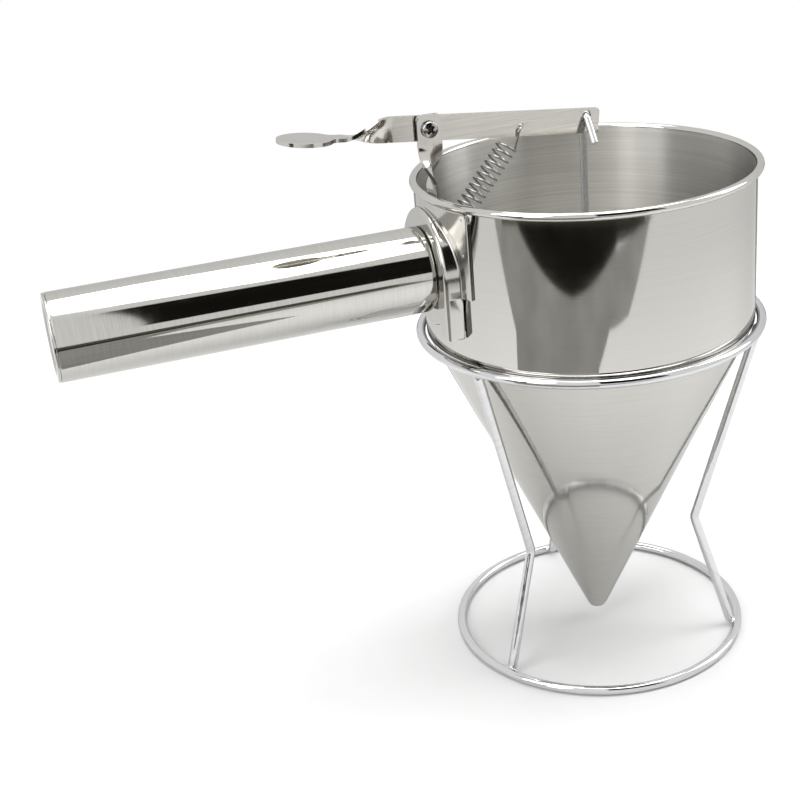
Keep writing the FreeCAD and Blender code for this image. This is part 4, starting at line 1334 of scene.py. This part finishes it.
# Painted reflections that hang: their reach across and in height, and how far in front of the stand
HANGING_REFLECTION_SHEETS = (
    ("black_left_cloth", (-1.75, -0.95), (0.0, 1.35), 1.2),
    ("black_right_cloth", (0.05, 0.50), (0.24, 0.85), 0.45),
)
# The black painted reflection, of dark floor: its far edge is an arc, and its near edge dips
# between its ends.
BLACK_REACH = 0.755
BLACK_FIRST = 226.0
BLACK_LAST = 313.0
BLACK_DIP = [(-0.09, -0.56), (0.23, -0.65), (0.39, -0.61)]
# The grey painted reflection, of a shadow on the floor: its near end, its right side, its far
# corners and its left side
GREY_CORNERS = [(-0.16, -0.16), (0.02, -0.22), (0.04, -0.43), (0.11, -0.49), (0.22, -0.48),
                (0.55, -0.60), (-0.60, -0.75), (-0.70, -0.40), (-0.36, -0.34)]


def painted_reflection_sheets():
    """Painted reflections of everything that the steel mirrors, in the camera's own frame with the
    camera towards -Y.
    """
    metals = {
        "black": painted_reflection_material("black_painted_reflection", (0.006, 0.006, 0.005), (0.016, 0.015, 0.012)),
        "olive": painted_reflection_material("olive_painted_reflection", (0.07, 0.066, 0.05), (0.14, 0.135, 0.11)),
        "grey": painted_reflection_material("grey_painted_reflection", (0.26, 0.255, 0.24), (0.56, 0.555, 0.53)),
    }
    far_edge = arc((0, 0), BLACK_REACH, BLACK_LAST, BLACK_FIRST, 16)
    painted_reflection_sheet("black_ground_cloth", on_ground(BLACK_DIP + far_edge, 0.004), metals["black"])
    painted_reflection_sheet("grey_ground_cloth", on_ground(GREY_CORNERS, 0.002), metals["grey"])
    for name, shade, (first, last), (near, far), height in RING_REFLECTION_SHEETS:
        painted_reflection_sheet(name, on_ground(arc((0, 0), near, first, last, 20)
                             + arc((0, 0), far, last, first, 20), height), metals[shade])
    for name, (left, right), (low, high), ahead in HANGING_REFLECTION_SHEETS:
        painted_reflection_sheet(name, [(left, -ahead, low), (right, -ahead, low), (right, -ahead, high),
                    (left, -ahead, high)], metals["black"])


def softbox(name, place, target, width, height, power):
    light = bpy.data.lights.new(name, "AREA")
    light.shape = "RECTANGLE"
    light.size = width
    light.size_y = height
    light.energy = power
    item = new_object(name, light)
    item.location = place
    item.rotation_euler = (Vector(target) - Vector(place)).to_track_quat("-Z", "Y").to_euler()


def studio_world():
    world = bpy.data.worlds.new("studio")
    bpy.context.scene.world = world
    world.use_nodes = True
    tree = world.node_tree
    tree.nodes.clear()
    strength = put(tree, "ShaderNodeMapRange", {0: seen_directly(tree), 3: WORLD_LIGHT, 4: 1.0})
    sky = put(tree, "ShaderNodeBackground", {
        "Color": (1, 1, 1, 1), "Strength": strength.outputs[0]})
    surface(tree, sky, "ShaderNodeOutputWorld")


# Each lamp's place and target in metres, its width and height, and its power in watts
SOFTBOXES = (
    ("top_softbox", (0.1, 0.1, 1.6), (0, 0, 0.1), 1.4, 1.1, 22.0),
    ("left_softbox", (-1.3, -0.5, 0.9), (0, 0, 0.15), 0.9, 1.1, 9.0),
    ("right_softbox", (1.3, -0.2, 0.9), (0, 0, 0.15), 0.7, 1.1, 7.0),
)


CAMERA_AZIMUTH = -25.0
CAMERA_DISTANCE = 0.580
CAMERA_HEIGHT = 0.368
CAMERA_PITCH = 23.5
CAMERA_YAW = -8.3
CAMERA_ROLL = -5.1
FOCAL_PIXELS = 1430.0
FRAME_PIXELS = 800.0
SENSOR_WIDTH = 36.0


def camera():
    """The photograph's view: its lens from the focal length in pixels, its aim from three turns."""
    data = bpy.data.cameras.new("camera")
    data.sensor_width = SENSOR_WIDTH
    data.lens = SENSOR_WIDTH * FOCAL_PIXELS / FRAME_PIXELS
    item = new_object("camera", data)
    around = Matrix.Rotation(math.radians(CAMERA_AZIMUTH), 4, "Z")
    place = around @ Matrix.Translation((0, -CAMERA_DISTANCE, CAMERA_HEIGHT))
    yaw = Matrix.Rotation(math.radians(-CAMERA_YAW), 4, "Z")
    pitch = Matrix.Rotation(math.radians(90.0 - CAMERA_PITCH), 4, "X")
    roll = Matrix.Rotation(math.radians(CAMERA_ROLL), 4, "Z")
    item.matrix_world = place @ yaw @ pitch @ roll
    bpy.context.scene.camera = item


# Everything in order

ROUND_WIRE = round_wire_tree()
TURNED = turned_tree()
RING_OF_COPIES = ring_of_copies_tree()
PIECE_AT_EACH_POINT = scattered_tree()
GRAINS = {"turned": turned_grain_group(), "drawn": drawn_grain_group()}
HANDLING = handling_group()

MIRROR_STEEL = mirror_steel()
CONE_STEEL = cone_steel()
LINING_STEEL = lining_steel()
HANDLE_STEEL = handle_steel()
STRAP_STEEL = strap_steel()
UPRIGHT_STEEL = upright_steel()
BRACKET_STEEL = bracket_steel()
CHROME_WIRE = chrome_wire()
PLAIN_STEEL = plain_steel()
SCREW_STEEL = screw_steel()
RECESS_SHADE = recess_shade()
OUTLET_STEEL = outlet_steel()
SPRING_STEEL = spring_steel()

cup()
cone()
outlet()
ring("ring_under_cup", TOP_RING, "stand_top_ring")
ring("ring_on_table", BASE_RING, "stand_base_ring")
legs()
stand_welds()
handle_flange()
handle_tube()
handle_cap()
bracket()
upright()
lever()
screw()
washer("washer_under_upright", FRONT_WASHER_FACE, "washer_front")
washer("washer_behind_lever", BACK_WASHER_FACE, "washer_back")
nut()
rod()
plug()
spring_eye()
spring()
bracket_welds()
eye_weld()

floor()
painted_reflection_sheets()
studio_world()
for lamp in SOFTBOXES:
    softbox(*lamp)
camera()
bpy.context.scene.view_settings.view_transform = "Standard"
